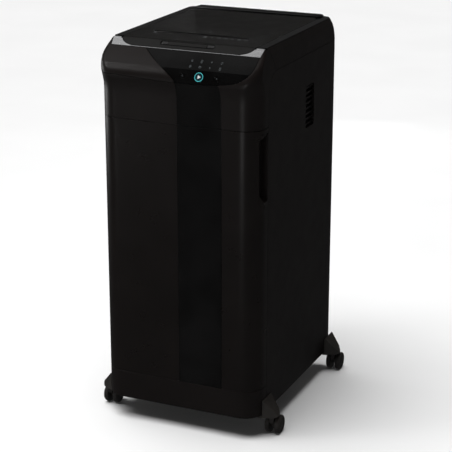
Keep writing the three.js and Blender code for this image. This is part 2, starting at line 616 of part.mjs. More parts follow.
function addFan() {
  const y = 352;
  const z = 868;
  const square = [[y - 30, z - 30], [y + 30, z - 30], [y + 30, z + 30], [y - 30, z + 30]];
  const frame = prismX(square, 187, 201, [circle(y, z, 27, 16)]);
  const spokes = [box(187, 189, y - 28, y + 28, z - 2, z + 2), box(187, 189, y - 2, y + 2, z - 28, z + 28)];
  add('fan_frame', join(frame, ...spokes, rodX(11, 187, 189, y, z)), 'dark');

  const blades = Array.from({ length: 5 }, (_, i) => {
    const blade = new THREE.BoxGeometry(1.4, 17, 9).rotateY(0.7).translate(0, 16.5, 0);
    return blade.rotateX(i * 2 * Math.PI / 5).translate(195, y, z);
  });
  add('fan_rotor', join(rodX(10, 190.5, 199.5, y, z), ...blades), 'dark');
}

function addElectrics() {
  const chips = [
    box(12, 40, 33.5, 37, 950, 962),
    box(70, 84, 34, 37, 968, 982),
    box(100, 120, 33, 37, 948, 956),
  ];
  add('control_board', join(box(-4, 136, 36, 38, 944, 984), ...chips), 'board');

  const { x, z, rockerZ } = INLET;
  const body = box(x - 15, x + 15, 515, DEPTH + 0.6, z - 13, rockerZ + 14);
  const flange = box(x - 18, x + 18, DEPTH + 0.4, DEPTH + 2.2, z - 16, rockerZ + 17);
  const blade = (side, low, high) => box(x + side - 1, x + side + 1, 520, DEPTH - 3, z + low, z + high);
  const blades = [blade(-6, -5, 1), blade(6, -5, 1), blade(0, -7, -2)];
  const socket = cut(box(x - 12, x + 12, 524, 560, z - 8, z + 8), ...blades);
  const rockerWell = box(x - 8, x + 8, 529, 560, rockerZ - 11.4, rockerZ + 11.4);
  const axle = rodX(1.6, x - 9, x + 9, DEPTH - 1, rockerZ, 8);
  add('power_inlet', join(cut(join(body, flange), socket, rockerWell), axle), 'dark');

  const rocker = [[-5, -9.6], [4.4, -9.6], [2.8, 0], [4.4, 9.6], [-5, 9.6]];
  const tilt = THREE.MathUtils.degToRad(7);
  const key = prismX(rocker, x - 7, x + 7).rotateX(tilt).translate(0, DEPTH - 1, rockerZ);
  add('mains_rocker', cut(key, rodX(2.2, x - 20, x + 20, DEPTH - 1, rockerZ, 8)), 'gloss');
}

// ---- Casters -----------------------------------------------------------------------------------

function addCaster(place, sign, y) {
  const x = sign * FEET.x;
  const plan = [[150, y - 24], [221, y - 30], [250, y - 15], [256, y - 7], [256, y + 7], [250, y + 15],
    [221, y + 30], [150, y + 24]];
  const wedge = [[220 + GAP, 54], [256, 54], [256, 62], [250, 72], [224, 102], [220 + GAP, 104]];
  const footPlate = [[150, 54], [230, 54], [230, 61.7], [150, 61.7]];
  const facing = (points) => (sign > 0 ? points : mirrored(points));
  const solid = join(prismY(facing(wedge), y - 40, y + 40), prismY(facing(footPlate), y - 40, y + 40));
  const arm = common(solid, prismZ(facing(plan), 50, 110));
  add(`caster_arm_${place}`, cut(arm, rodZ(STEM + 0.6, x, y, 40, 72, 8)), 'dark');

  const collar = [[STEM, 50.6], [7.5, 50.6], [7.5, 53.4], [STEM, 53.4]];
  const stem = [[0, 42], [STEM, 42], ...collar, [STEM, 71], [0, 71]];
  const stemPoints = stem.map(([r, z]) => new THREE.Vector2(r, z));
  const turned = new THREE.LatheGeometry(stemPoints, 8).rotateX(Math.PI / 2).translate(x, y, 0);
  add(`caster_stem_${place}`, turned, 'chrome');

  const axleY = y + FEET.trail;
  const hoodSide = [
    ...arc(axleY, WHEEL.radius, 24.5, 24.5, 8, 90, 5),
    [y + 6, 50.2],
    [y - 7.5, 50.2],
    [y - 7.5, 36],
    ...arc(axleY, WHEEL.radius, 9, 9, 200, 350, 4),
  ];
  const hood = prismX(hoodSide, x - 6, x + 6);
  const axleBore = rodX(WHEEL.axle + 1.1, x - 10, x + 10, axleY, WHEEL.radius, 10);
  add(`caster_hood_${place}`, cut(hood, axleBore, rodZ(STEM + 0.6, x, y, 41.4, 60, 8)), 'dark');

  const { radius, outer, inner, axle, facets } = WHEEL;
  const tread = [[22, inner], [radius, inner + 1.5], [radius, outer - 4], [22, outer]];
  const half = [[axle, inner], ...tread, [0, outer - 1.5]];
  const profile = [...half.map(([r, px]) => [r, -px]).reverse(), ...half];
  const toVertex = 1 / Math.cos(Math.PI / facets);
  const round = profile.map(([r, px]) => [r * toVertex, px]);
  add(`caster_wheels_${place}`, turnedX(round, axleY, radius, facets).translate(x, 0, 0), 'dark');
}

addBase();
addSidePanels();
addRearPanel();
addKickPlate();
addFront();
addButtons();
addHeadCover();
addLid();
addPaperTray();
addDrawer();
addFrame();
addCutterShafts();
addCutterFrame();
addDrive();
addFan();
addElectrics();
for (const [end, y] of [['front', FEET.front], ['rear', FEET.rear]]) {
  addCaster(`${end}_left`, -1, y);
  addCaster(`${end}_right`, 1, y);
}

const shredder = new THREE.Group();
shredder.add(cabinet);
export default shredder;
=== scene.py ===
"""Looks of the paper shredder: fine mouldings, finishes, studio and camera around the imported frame.

Shapes are drawn in millimetres: x across the front, depth from the drawer's face towards the rear,
z up from the floor. place() turns them into the frame's metres.
"""
import json
import math

import bmesh
import bpy
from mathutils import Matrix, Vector
from mathutils.geometry import delaunay_2d_cdt


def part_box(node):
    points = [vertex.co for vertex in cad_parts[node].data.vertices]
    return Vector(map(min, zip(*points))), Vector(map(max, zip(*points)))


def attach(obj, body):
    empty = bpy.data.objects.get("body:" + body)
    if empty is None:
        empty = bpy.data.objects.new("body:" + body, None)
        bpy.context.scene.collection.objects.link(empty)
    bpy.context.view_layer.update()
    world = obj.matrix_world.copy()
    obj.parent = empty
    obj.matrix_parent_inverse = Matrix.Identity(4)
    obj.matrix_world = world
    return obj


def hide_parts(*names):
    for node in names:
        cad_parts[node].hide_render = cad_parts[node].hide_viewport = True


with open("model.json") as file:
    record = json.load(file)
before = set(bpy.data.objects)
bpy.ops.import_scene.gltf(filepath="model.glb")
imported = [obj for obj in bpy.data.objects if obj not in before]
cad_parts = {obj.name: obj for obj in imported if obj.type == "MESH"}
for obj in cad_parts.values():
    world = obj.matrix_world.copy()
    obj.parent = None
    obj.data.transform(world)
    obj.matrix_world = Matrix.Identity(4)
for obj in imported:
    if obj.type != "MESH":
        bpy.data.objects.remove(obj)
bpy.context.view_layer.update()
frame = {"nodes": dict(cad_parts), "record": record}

# ---- Dimensions, taken from the frame where a node gives them ----

MM = 0.001
FRONT_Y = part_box("drawer_front")[0].y


def millimetres(node):
    """The two corners of a CAD node as (x, depth, z) in millimetres."""
    return [(c.x / MM, (c.y - FRONT_Y) / MM, c.z / MM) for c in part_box(node)]


(_, _, DRAWER_BOTTOM), (HALF, _, DRAWER_TOP) = millimetres("drawer_front")
(_, _, BODY_BOTTOM), (_, _, KICK_TOP) = millimetres("kick_plate")
(_, SEAM_LOW, _), (_, DEPTH, SIDE_TOP) = millimetres("side_panel_right")
(_, _, HEAD_BOTTOM), (_, _, RIM_TOP) = millimetres("head_cover")
(LATCH_LEFT, _, LATCH_BOTTOM), (LATCH_RIGHT, _, LATCH_TOP) = millimetres("lid_latch")
(STRIP_LEFT, _, _), (STRIP_RIGHT, STRIP_WALL, _) = millimetres("drawer_strip")
LID_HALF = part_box("lid_shell")[1].x / MM
LID_HINGE_DEPTH = sum(corner[1] for corner in millimetres("hinge_rod")) / 2
(CHUTE_LEFT, CHUTE_FRONT, _), (CHUTE_RIGHT, CHUTE_REAR, _) = millimetres("slot_chute")

GAP = 0.6  # joint between neighbouring mouldings
WALL = 3.0
CREASE = 968  # the front leans back above this height
TRIM_BOTTOM = 1003
SHELL_TOP = 1018.6
FACE_TOP = 1021
SHELL_CORNER = [(203, TRIM_BOTTOM), (207.5, SHELL_TOP)]  # the shells' upper end beside the trim
LIP_BOTTOM = 1005.5
LIP_CORNER = 46
LIP_HALF = 181
LID_CORNER = 20
SHOULDER_MIDDLE, SHOULDER_RISE, SHOULDER_REACH = 934, 7, 160
SHOULDER_END = SHOULDER_MIDDLE + SHOULDER_RISE

# The front of the cabinet at each height: face depth, corner radius, half width, side seam depth.
PROFILE = [
    (900, 0, 52, 220, 69), (914, -1, 51, 220, 69), (926, -2.5, 48, 220, 74), (936, -4, 45, 220, 79),
    (945, -3.5, 40, 220, 84), (955, 0, 34, 220, 97), (961, 4, 29, 220, 114),
    (CREASE, 9, 24, 219.8, 110.5), (985, 27, 10, 218.3, 102),
    (TRIM_BOTTOM, 51, 6, 215.3, 93), (FACE_TOP, 73.9, 5, 209.2, 84),
]
# The head behind the seam at each height: half width, rear depth, rear corner radius.
HEAD_PROFILE = [
    (961.6, 220, 542, 12), (985, 218.3, 542, 14), (1003, 215.3, 541.5, 18), (1014, 211.6, 540.5, 22),
    (1019, 209.8, 539.4, 23.5),
]


def place(x, depth, z):
    return Vector((x * MM, FRONT_Y + depth * MM, z * MM))


def hermite(rows, z, column):
    """Smooth reading of a profile's column at a height, through every row."""
    if z <= rows[0][0]:
        return rows[0][column]
    last = len(rows) - 1
    i = next((n for n in range(last) if rows[n + 1][0] >= z), last - 1)

    def slope(n):
        low, high = max(n - 1, 0), min(n + 1, last)
        return (rows[high][column] - rows[low][column]) / (rows[high][0] - rows[low][0])

    span = rows[i + 1][0] - rows[i][0]
    t = (z - rows[i][0]) / span
    if t > 1:
        return rows[last][column] + slope(last) * (z - rows[last][0])
    ends = (2 * t**3 - 3 * t**2 + 1) * rows[i][column] + (3 * t**2 - 2 * t**3) * rows[i + 1][column]
    tangents = (t**3 - 2 * t**2 + t) * slope(i) + (t**3 - t**2) * slope(i + 1)
    return ends + span * tangents


BELOW_CREASE = [row for row in PROFILE if row[0] <= CREASE]
ABOVE_CREASE = [row for row in PROFILE if row[0] >= CREASE]


def front_row(z):
    """Face depth, corner radius, half width and seam depth of the front at a height."""
    rows = BELOW_CREASE if z <= CREASE else ABOVE_CREASE
    return [hermite(rows, z, column) for column in (1, 2, 3, 4)]


def around(x, z):
    """How far round the plan a point of the front view lies, from the middle of the front."""
    _, radius, half, _ = front_row(z)
    flat = half - radius
    beyond = min((abs(x) - flat) / radius, 1)
    return x if beyond <= 0 else math.copysign(flat + radius * math.asin(beyond), x)


def around_side(depth, z, side):
    """How far round the plan a point of the side lies, past the rounded corner."""
    face, radius, half, _ = front_row(z)
    behind = depth - face - radius
    if behind < 0:
        return side * (half - radius + radius * math.acos(min(-behind / radius, 1)))
    return side * (half - radius + radius * math.pi / 2 + behind)


def seam(z, side):
    return around_side(front_row(z)[3], z, side)


def front_point(s, z):
    """The front surface: a distance round the plan and a height to a place."""
    face, radius, half, _ = front_row(z)
    flat = half - radius
    turn = (abs(s) - flat) / radius
    if turn <= 0:
        return place(s, face, z)
    if turn <= math.pi / 2:
        x, depth = flat + radius * math.sin(turn), face + radius - radius * math.cos(turn)
    else:
        x, depth = half, face + radius + (turn - math.pi / 2) * radius
    return place(math.copysign(x, s), depth, z)


REAR_RADIUS = 12
REAR_RETURN = 12


def side_point(sign):
    """The side panel: depth, then round the rear corner, and a height to a place."""
    flat = DEPTH - REAR_RADIUS
    turn_end = flat + REAR_RADIUS * math.pi / 2

    def point(s, z):
        if s <= flat:
            return place(sign * HALF, s, z)
        if s <= turn_end:
            turn = (s - flat) / REAR_RADIUS
            x = HALF - REAR_RADIUS + REAR_RADIUS * math.cos(turn)
            return place(sign * x, flat + REAR_RADIUS * math.sin(turn), z)
        return place(sign * (HALF - REAR_RADIUS - (s - turn_end)), DEPTH, z)

    return point


def shoulder_top(x):
    """Height of the shoulder's upper edge, which is lowest in the middle of the front."""
    return SHOULDER_MIDDLE + SHOULDER_RISE * min(abs(x) / SHOULDER_REACH, 1) ** 2


# ---- Outlines ----


def arc(u, v, radius_u, radius_v, start, end, steps):
    angles = [math.radians(start + (end - start) * i / steps) for i in range(steps + 1)]
    return [(u + radius_u * math.cos(a), v + radius_v * math.sin(a)) for a in angles]


def rounded_box(u0, u1, v0, v1, radius, steps=6):
    corners = [(u1, v0, 270), (u1, v1, 0), (u0, v1, 90), (u0, v0, 180)]
    points = []
    for u, v, start in corners:
        cu = u - radius if u == u1 else u + radius
        cv = v - radius if v == v1 else v + radius
        points += arc(cu, cv, radius, radius, start, start + 90, steps)
    return points


def rear_corners(half, rear, corner):
    """The two rear corners of an outline, from its right side round to its left."""
    right = arc(half - corner, rear - corner, corner, corner, 0, 90, 10)
    return right + arc(-half + corner, rear - corner, corner, corner, 90, 180, 10)


def box_rings(section, x0, x1, front, rear, radius, steps, shares=(1, 1, 1)):
    """Rings of a rounded box: (inset, height) pairs, the inset weighted at sides, front and rear."""
    rings = []
    for inset, z in section:
        side, before, behind = (inset * share for share in shares)
        flat = rounded_box(x0 + side, x1 - side, front + before, rear - behind, radius, steps)
        rings.append([place(x, depth, z) for x, depth in flat])
    return rings


def fine(points, step, closed=True):
    """The same line with points no further apart than a step."""
    result = []
    pairs = zip(points, points[1:] + points[:1]) if closed else zip(points, points[1:])
    for (u0, v0), (u1, v1) in pairs:
        count = max(1, math.ceil(math.hypot(u1 - u0, v1 - v0) / step))
        result += [(u0 + (u1 - u0) * i / count, v0 + (v1 - v0) * i / count) for i in range(count)]
    return result if closed else result + [points[-1]]


DIAGONAL = [(-2, 938), (-23, 955.8), (-64, 979), (-106, TRIM_BOTTOM)]
PANEL_CORNER = (122, 990, 80, 50)  # centre across and up, radius across and up
PANEL_END = 202.5
STRIP_LEAN_START, STRIP_LEAN_THIRD = 880, 912


def smooth_line(points, steps=8):
    """A smooth line through a few points, by Catmull-Rom."""
    ends = [points[0]] + list(points) + [points[-1]]
    result = []
    for a, b, c, d in zip(ends, ends[1:], ends[2:], ends[3:]):
        for i in range(steps):
            t = i / steps
            weights = (-t**3 + 2 * t**2 - t, 3 * t**3 - 5 * t**2 + 2, -3 * t**3 + 4 * t**2 + t, t**3 - t**2)
            result.append(tuple(sum(w * p[k] for w, p in zip(weights, (a, b, c, d))) / 2 for k in (0, 1)))
    return result + [points[-1]]


def diagonal(shift):
    return [(x + shift, z) for x, z in smooth_line(DIAGONAL)]


def panel_edge(grow):
    x, z, width, height = PANEL_CORNER
    return arc(x, z, width + grow, height + grow, 270, 360, 24) + [(PANEL_END + grow, TRIM_BOTTOM)]


def shoulder_line(x0, x1, lift):
    count = max(2, int(abs(x1 - x0) / 5))
    xs = [x0 + (x1 - x0) * i / count for i in range(count + 1)]
    return [(x, shoulder_top(x) + lift) for x in xs]


def strip_edge(x, lean):
    """One side of the gloss strip over the shoulder, from the drawer's top up to the shoulder line."""
    foot = [(x, DRAWER_TOP + GAP), (x, STRIP_LEAN_START)]
    head = [(x - 0.35 * lean, STRIP_LEAN_THIRD), (x - lean, shoulder_top(x) - GAP)]
    return smooth_line(foot + head)


def unrolled(points):
    return [(around(x, z), z) for x, z in points]


def seam_line(z0, z1, side):
    count = max(2, int(abs(z1 - z0) / 3))
    heights = [z0 + (z1 - z0) * i / count for i in range(count + 1)]
    return [(seam(z, side), z) for z in heights]


# ---- Materials ----


class Finish:
    """A procedural material: a Principled shader with noise-driven colour, roughness and bump."""

    def __init__(self, name, color, roughness, **fixed):
        self.material = bpy.data.materials.new(name)
        self.material.use_nodes = True
        self.tree = self.material.node_tree
        self.shader = self.tree.nodes["Principled BSDF"]
        self.color = color
        self.shader.inputs["Base Color"].default_value = (*color, 1)
        self.shader.inputs["Roughness"].default_value = roughness
        for key, value in fixed.items():
            self.shader.inputs[key.replace("_", " ")].default_value = value
        self.place = self.node("ShaderNodeTexCoord").outputs["Object"]

    def node(self, kind, **inputs):
        node = self.tree.nodes.new(kind)
        for key, value in inputs.items():
            self.join(value, node.inputs[key])
        return node

    def join(self, value, socket):
        if isinstance(value, bpy.types.NodeSocket):
            self.tree.links.new(value, socket)
        else:
            socket.default_value = value

    def noise(self, scale, detail=3.0, stretch=(1, 1, 1)):
        mapping = self.node("ShaderNodeMapping", Vector=self.place, Scale=stretch)
        noise = self.node("ShaderNodeTexNoise", Vector=mapping.outputs[0], Scale=scale, Detail=detail)
        return noise.outputs[0]

    def cells(self, scale):
        return self.node("ShaderNodeTexVoronoi", Vector=self.place, Scale=scale).outputs["Distance"]

    def spread(self, value, low, high, start=0.3, end=0.7):
        """A number socket that runs from low to high as a texture value runs from start to end."""
        ramp = self.node("ShaderNodeMapRange")
        self.join(value, ramp.inputs["Value"])
        for key, number in (("From Min", start), ("From Max", end), ("To Min", low), ("To Max", high)):
            ramp.inputs[key].default_value = number
        return ramp.outputs[0]

    def tint(self, value, other, start=0.35, end=0.65):
        """Colour between the base and another one by a texture value."""
        mix = self.node("ShaderNodeMix")
        mix.data_type = "RGBA"
        self.join(self.spread(value, 0, 1, start, end), mix.inputs["Factor"])
        mix.inputs[6].default_value = (*self.color, 1)
        mix.inputs[7].default_value = (*other, 1)
        self.join(mix.outputs[2], self.shader.inputs["Base Color"])
        return self

    def rough(self, value, low, high):
        self.join(self.spread(value, low, high), self.shader.inputs["Roughness"])
        return self

    def bump(self, value, height, strength=1.0):
        bump = self.node("ShaderNodeBump", Strength=strength, Distance=height, Height=value)
        if self.shader.inputs["Normal"].links:
            self.join(self.shader.inputs["Normal"].links[0].from_socket, bump.inputs["Normal"])
        self.join(bump.outputs[0], self.shader.inputs["Normal"])
        return self


def satin(name, color, worn, roughness):
    """Moulded plastic with a fine spark-eroded grain, faint handling marks and slow colour drift."""
    finish = Finish(name, color, roughness, Specular_IOR_Level=0.3)
    finish.tint(finish.noise(7, 4), worn)
    finish.rough(finish.noise(26, 5), roughness - 0.03, roughness + 0.03)
    finish.bump(finish.cells(1500), 0.00006, 0.5)
    finish.bump(finish.noise(420, 2), 0.00008, 0.35)
    return finish.material


def piano(name, color, roughness, mirror=0.5):
    """High-gloss moulding: clear surface, slight orange peel, dust-fine haze."""
    finish = Finish(name, color, roughness, Specular_IOR_Level=mirror)
    finish.tint(finish.noise(11, 3), tuple(c * 1.7 + 0.001 for c in color))
    finish.rough(finish.noise(60, 6), roughness, roughness + 0.07)
    finish.bump(finish.noise(95, 1), 0.00005, 0.25)
    return finish.material


def metal(name, color, roughness, stretch, grain=0.00004):
    """Drawn or rolled metal with its grain along one direction."""
    finish = Finish(name, color, roughness, Metallic=1.0)
    lines = finish.noise(160, 5, stretch)
    finish.tint(lines, tuple(c * 0.8 for c in color))
    finish.rough(lines, roughness - 0.08, roughness + 0.1)
    finish.bump(lines, grain, 0.5)
    return finish.material


def coarse(name, color, worn, roughness, scale, height):
    """Textured plastic, rubber or paint with a coarse pebble and scuffs."""
    finish = Finish(name, color, roughness, Specular_IOR_Level=0.4)
    finish.tint(finish.noise(18, 6), worn)
    finish.rough(finish.noise(70, 4), roughness - 0.1, roughness + 0.08)
    finish.bump(finish.cells(scale), height, 0.7)
    return finish.material


def lit(name, color, strength):
    finish = Finish(name, color, 0.3, Emission_Color=(*color, 1), Emission_Strength=strength)
    finish.tint(finish.noise(300, 2), tuple(c * 0.8 for c in color))
    return finish.material


def printed(name, color):
    """Pad-printed ink with slightly uneven cover."""
    finish = Finish(name, color, 0.5)
    finish.tint(finish.noise(900, 3), tuple(c * 0.7 for c in color))
    finish.bump(finish.noise(1800, 2), 0.00002, 0.4)
    return finish.material


SHELL = satin("shell_satin_black", (0.0068, 0.0050, 0.0046), (0.0082, 0.0061, 0.0056), 0.36)
DOOR = satin("drawer_satin_black", (0.0062, 0.0048, 0.0044), (0.0076, 0.0058, 0.0053), 0.3)
LID = satin("lid_matte_black", (0.0060, 0.0057, 0.0054), (0.0074, 0.0070, 0.0066), 0.42)
GLOSS = piano("piano_black", (0.0022, 0.0021, 0.0021), 0.05)
PANEL = piano("panel_gloss_black", (0.0018, 0.0017, 0.0017), 0.09, 0.1)
CHUTE = piano("chute_gloss_black", (0.004, 0.0038, 0.0038), 0.14)
SILVER = metal("trim_silver", (0.62, 0.62, 0.63), 0.24, (0.4, 6, 6))
STEEL = metal("zinc_plated_steel", (0.46, 0.47, 0.49), 0.36, (1, 9, 9))
CUTTER_STEEL = metal("hardened_cutter_steel", (0.3, 0.3, 0.31), 0.3, (9, 1, 1))
CHROME = metal("polished_chrome", (0.75, 0.76, 0.78), 0.13, (1, 1, 8), 0.00001)
DARK = coarse("textured_dark_plastic", (0.017, 0.0148, 0.0132), (0.026, 0.0228, 0.02), 0.5, 900, 0.00012)
TREAD = coarse("caster_tread", (0.015, 0.0135, 0.0125), (0.024, 0.021, 0.019), 0.45, 1400, 0.00006)
RUBBER = coarse("ground_rubber", (0.012, 0.012, 0.012), (0.02, 0.02, 0.02), 0.85, 1200, 0.0001)
MOTOR = coarse("painted_motor_can", (0.05, 0.054, 0.058), (0.066, 0.07, 0.074), 0.42, 600, 0.0001)
BOARD = coarse("solder_masked_laminate", (0.012, 0.08, 0.035), (0.02, 0.11, 0.05), 0.4, 700, 0.00005)
TEAL = lit("teal_light_ring", (0.05, 0.36, 0.38), 0.55)
KEY_FACE = piano("key_face_blue_black", (0.006, 0.022, 0.028), 0.12, 0.1)
INK = printed("grey_ink", (0.23, 0.24, 0.25))
DIM_INK = printed("dim_ink", (0.075, 0.085, 0.09))
WHITE_INK = printed("white_ink", (0.75, 0.78, 0.78))

NODE_FINISH = {
    STEEL: ["frame_left", "frame_right", "drawer_rail_left", "drawer_rail_right", "cutter_deck",
            "drawer_cradle", "cutter_frame", "hinge_rod", "pressure_plate"],
    CUTTER_STEEL: ["cutter_shaft_front", "cutter_shaft_rear", "idler_gear", "motor_pinion"],
    DARK: ["base_tray", "lid_liner", "paper_tray", "waste_bin", "fan_frame", "fan_rotor", "power_inlet"],
    MOTOR: ["drive_motor"],
    RUBBER: ["feed_roller_shaft", "feed_belt"],
    BOARD: ["control_board"],
    CHUTE: ["slot_chute", "mains_rocker"],
    SHELL: ["rear_panel"],
}
for finish, nodes in NODE_FINISH.items():
    for node in nodes:
        mesh = frame["nodes"][node].data
        mesh.materials.clear()
        mesh.materials.append(finish)

# ---- Mesh makers ----

SHARP, TURNED_SHARP, CAD_SHARP = 30, 32, 28  # degrees between faces at a sharp edge
GRID_CLEARANCE = 1.2
INSIDE_OUTLINES = 1  # delaunay_2d_cdt's output type: triangles inside the constraints
BODY_OF = {node: body for body, nodes in frame["record"]["behaviour"]["bodies"].items() for node in nodes}


def linked(name, mesh):
    thing = bpy.data.objects.new(name, mesh)
    bpy.context.scene.collection.objects.link(thing)
    return thing


def make_object(name, points, faces, material, thickness=0.0):
    """A shaded object from points and faces, with an optional wall thickness."""
    mesh = bpy.data.meshes.new(name)
    mesh.from_pydata([tuple(p) for p in points], [], faces)
    mesh.validate()
    mesh.materials.append(material)
    mesh.shade_smooth()
    if not thickness:
        mesh.set_sharp_from_angle(angle=math.radians(SHARP))
    piece = linked(name, mesh)
    if thickness:
        solid = piece.modifiers.new("wall", "SOLIDIFY")
        solid.thickness = thickness * MM
        solid.offset = -1
        solid.use_even_offset = True
    return piece


def round_edges(piece, width, segments=3):
    bevel = piece.modifiers.new("edges", "BEVEL")
    bevel.width = width * MM
    bevel.segments = segments
    bevel.limit_method = "ANGLE"
    bevel.angle_limit = math.radians(40)
    bevel.harden_normals = True
    bevel.use_clamp_overlap = True


def stand_for(piece, node, hide=True):
    """The piece rides on the node's body and, where it hides the node, takes its place."""
    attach(piece, BODY_OF[node])
    if hide:
        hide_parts(node)


def inside(point, loop):
    u, v = point
    hit = False
    for (u0, v0), (u1, v1) in zip(loop, loop[1:] + loop[:1]):
        if (v0 > v) != (v1 > v) and u < (u1 - u0) * (v - v0) / (v1 - v0) + u0:
            hit = not hit
    return hit


def far_from(point, loop, distance):
    """True where a point is further than a distance from every edge of a loop."""
    here = Vector(point)
    for a, b in zip(loop, loop[1:] + loop[:1]):
        start, end = Vector(a), Vector(b)
        along = end - start
        t = max(0.0, min(1.0, (here - start).dot(along) / max(along.length_squared, 1e-9)))
        if (start + along * t - here).length < distance:
            return False
    return True


def triangulated(loops, rows, columns):
    """Points and triangles that fill the first loop less the others, with inner points on a grid."""
    points = [Vector(p) for loop in loops for p in loop]
    edges = []
    start = 0
    for loop in loops:
        count = len(loop)
        edges += [(start + i, start + (i + 1) % count) for i in range(count)]
        start += count
    for v in rows:
        for u in columns:
            if inside((u, v), loops[0]) and not any(inside((u, v), hole) for hole in loops[1:]):
                if all(far_from((u, v), loop, GRID_CLEARANCE) for loop in loops):
                    points.append(Vector((u, v)))
    flat, _, triangles, *_ = delaunay_2d_cdt(points, edges, [], INSIDE_OUTLINES, 1e-5)

    def filled(triangle):
        centre = sum((flat[i] for i in triangle), Vector((0, 0))) / len(triangle)
        return inside(centre, loops[0]) and not any(inside(centre, hole) for hole in loops[1:])

    return flat, [triangle for triangle in triangles if filled(triangle)]


def spaced(low, high, step):
    count = max(1, math.ceil((high - low) / step))
    return [low + (high - low) * i / count for i in range(count + 1)]


def skin(name, islands, surface, material, thickness, bevel=0.5, step=6.0, rows=None, sharp_at=None):
    """A moulding: flat outlines in a surface's own coordinates, mapped onto it and given a wall.

    Each island is a list of loops, the outline first and then its holes."""
    points, faces = [], []
    for loops in islands:
        loops = [fine(loop, step) for loop in loops]
        us = [u for u, _ in loops[0]]
        vs = [v for _, v in loops[0]]
        grid_rows = [v for v in (rows or spaced(min(vs), max(vs), step)) if min(vs) < v < max(vs)]
        flat, triangles = triangulated(loops, grid_rows, spaced(min(us), max(us), step))
        start = len(points)
        points += [surface(u, v) for u, v in flat]
        faces += [[start + i for i in triangle] for triangle in triangles]
    piece = make_object(name, points, faces, material, thickness=thickness)
    if sharp_at is not None:
        height = sharp_at * MM
        for edge in piece.data.edges:
            heights = [piece.data.vertices[v].co.z for v in edge.vertices]
            edge.use_edge_sharp = all(abs(z - height) < 1e-5 for z in heights)
    if bevel:
        round_edges(piece, bevel)
    return piece


def lathe(name, profile, centre, axis, material, steps=48):
    """A turned piece: (radius, along) pairs spun about an axis through a centre."""
    turn = Vector((0, 0, 1)).rotation_difference(Vector(axis)).to_matrix()
    points, faces = [], []
    count = len(profile)
    for i in range(steps):
        angle = 2 * math.pi * i / steps
        for radius, along in profile:
            local = Vector((radius * math.cos(angle), radius * math.sin(angle), along)) * MM
            points.append(centre + turn @ local)
    for i in range(steps):
        j = (i + 1) % steps
        for k in range(count - 1):
            faces.append([i * count + k, j * count + k, j * count + k + 1, i * count + k + 1])
    piece = make_object(name, points, faces, material)
    clean(piece.data)
    piece.data.set_sharp_from_angle(angle=math.radians(TURNED_SHARP))
    return piece


def clean(mesh):
    """Merges the points of a piece that meet and turns its faces outwards."""
    shape = bmesh.new()
    shape.from_mesh(mesh)
    bmesh.ops.remove_doubles(shape, verts=shape.verts, dist=1e-6)
    bmesh.ops.dissolve_degenerate(shape, edges=shape.edges, dist=1e-7)
    bmesh.ops.recalc_face_normals(shape, faces=shape.faces)
    shape.to_mesh(mesh)
    shape.free()


def stack(name, rings, material, capped=(True, True), bevel=0.0):
    """A piece through rings of equal point counts, with a cap at its first and last ring."""
    count = len(rings[0])
    points = [p for ring in rings for p in ring]
    faces = []
    for r in range(len(rings) - 1):
        for i in range(count):
            j = (i + 1) % count
            faces.append([r * count + i, r * count + j, (r + 1) * count + j, (r + 1) * count + i])
    if capped[0]:
        faces.append(list(range(count))[::-1])
    if capped[1]:
        faces.append(list(range((len(rings) - 1) * count, len(rings) * count)))
    piece = make_object(name, points, faces, material)
    clean(piece.data)
    piece.data.set_sharp_from_angle(angle=math.radians(SHARP))
    if bevel:
        round_edges(piece, bevel)
    return piece


def joined(name, pieces):
    """Several pieces as one object, with their modifiers applied and their materials kept."""
    graph = bpy.context.evaluated_depsgraph_get()
    shape = bmesh.new()
    materials = []
    for piece in pieces:
        evaluated = bpy.data.meshes.new_from_object(piece.evaluated_get(graph), depsgraph=graph)
        evaluated.transform(piece.matrix_world)
        material = piece.data.materials[0]
        if material not in materials:
            materials.append(material)
        index = materials.index(material)
        start = len(shape.faces)
        shape.from_mesh(evaluated)
        shape.faces.ensure_lookup_table()
        for face in shape.faces[start:]:
            face.material_index = index
    mesh = bpy.data.meshes.new(name)
    shape.to_mesh(mesh)
    shape.free()
    for piece in pieces:
        bpy.data.objects.remove(piece)
    for material in materials:
        mesh.materials.append(material)
    return linked(name, mesh)


def rounded_copy(node, name, material, width, segments=3):
    """The CAD piece again with its flat faces joined up and its edges rounded."""
    shape = bmesh.new()
    shape.from_mesh(frame["nodes"][node].data)
    bmesh.ops.remove_doubles(shape, verts=shape.verts, dist=2e-6)
    limit = math.radians(1)
    bmesh.ops.dissolve_limit(shape, angle_limit=limit, verts=shape.verts, edges=shape.edges)
    mesh = bpy.data.meshes.new(name)
    shape.to_mesh(mesh)
    shape.free()
    mesh.materials.clear()
    mesh.materials.append(material)
    mesh.shade_smooth()
    mesh.set_sharp_from_angle(angle=math.radians(CAD_SHARP))
    piece = linked(name, mesh)
    round_edges(piece, width, segments)
    stand_for(piece, node)


# ---- Front mouldings ----

SHOULDER_BOTTOM = millimetres("front_shoulder")[0][2]
STRIP_LEAN = (4.3, 6.1)
STRIP_JOINT = 0.4
KEY_CLEARANCE = 0.7
PANEL_START, PANEL_BASE_END = 1, 118  # the panel's lower edge, along the shoulder's upper edge
SLOPE_ROWS = 935  # lowest row of inner points under the crease


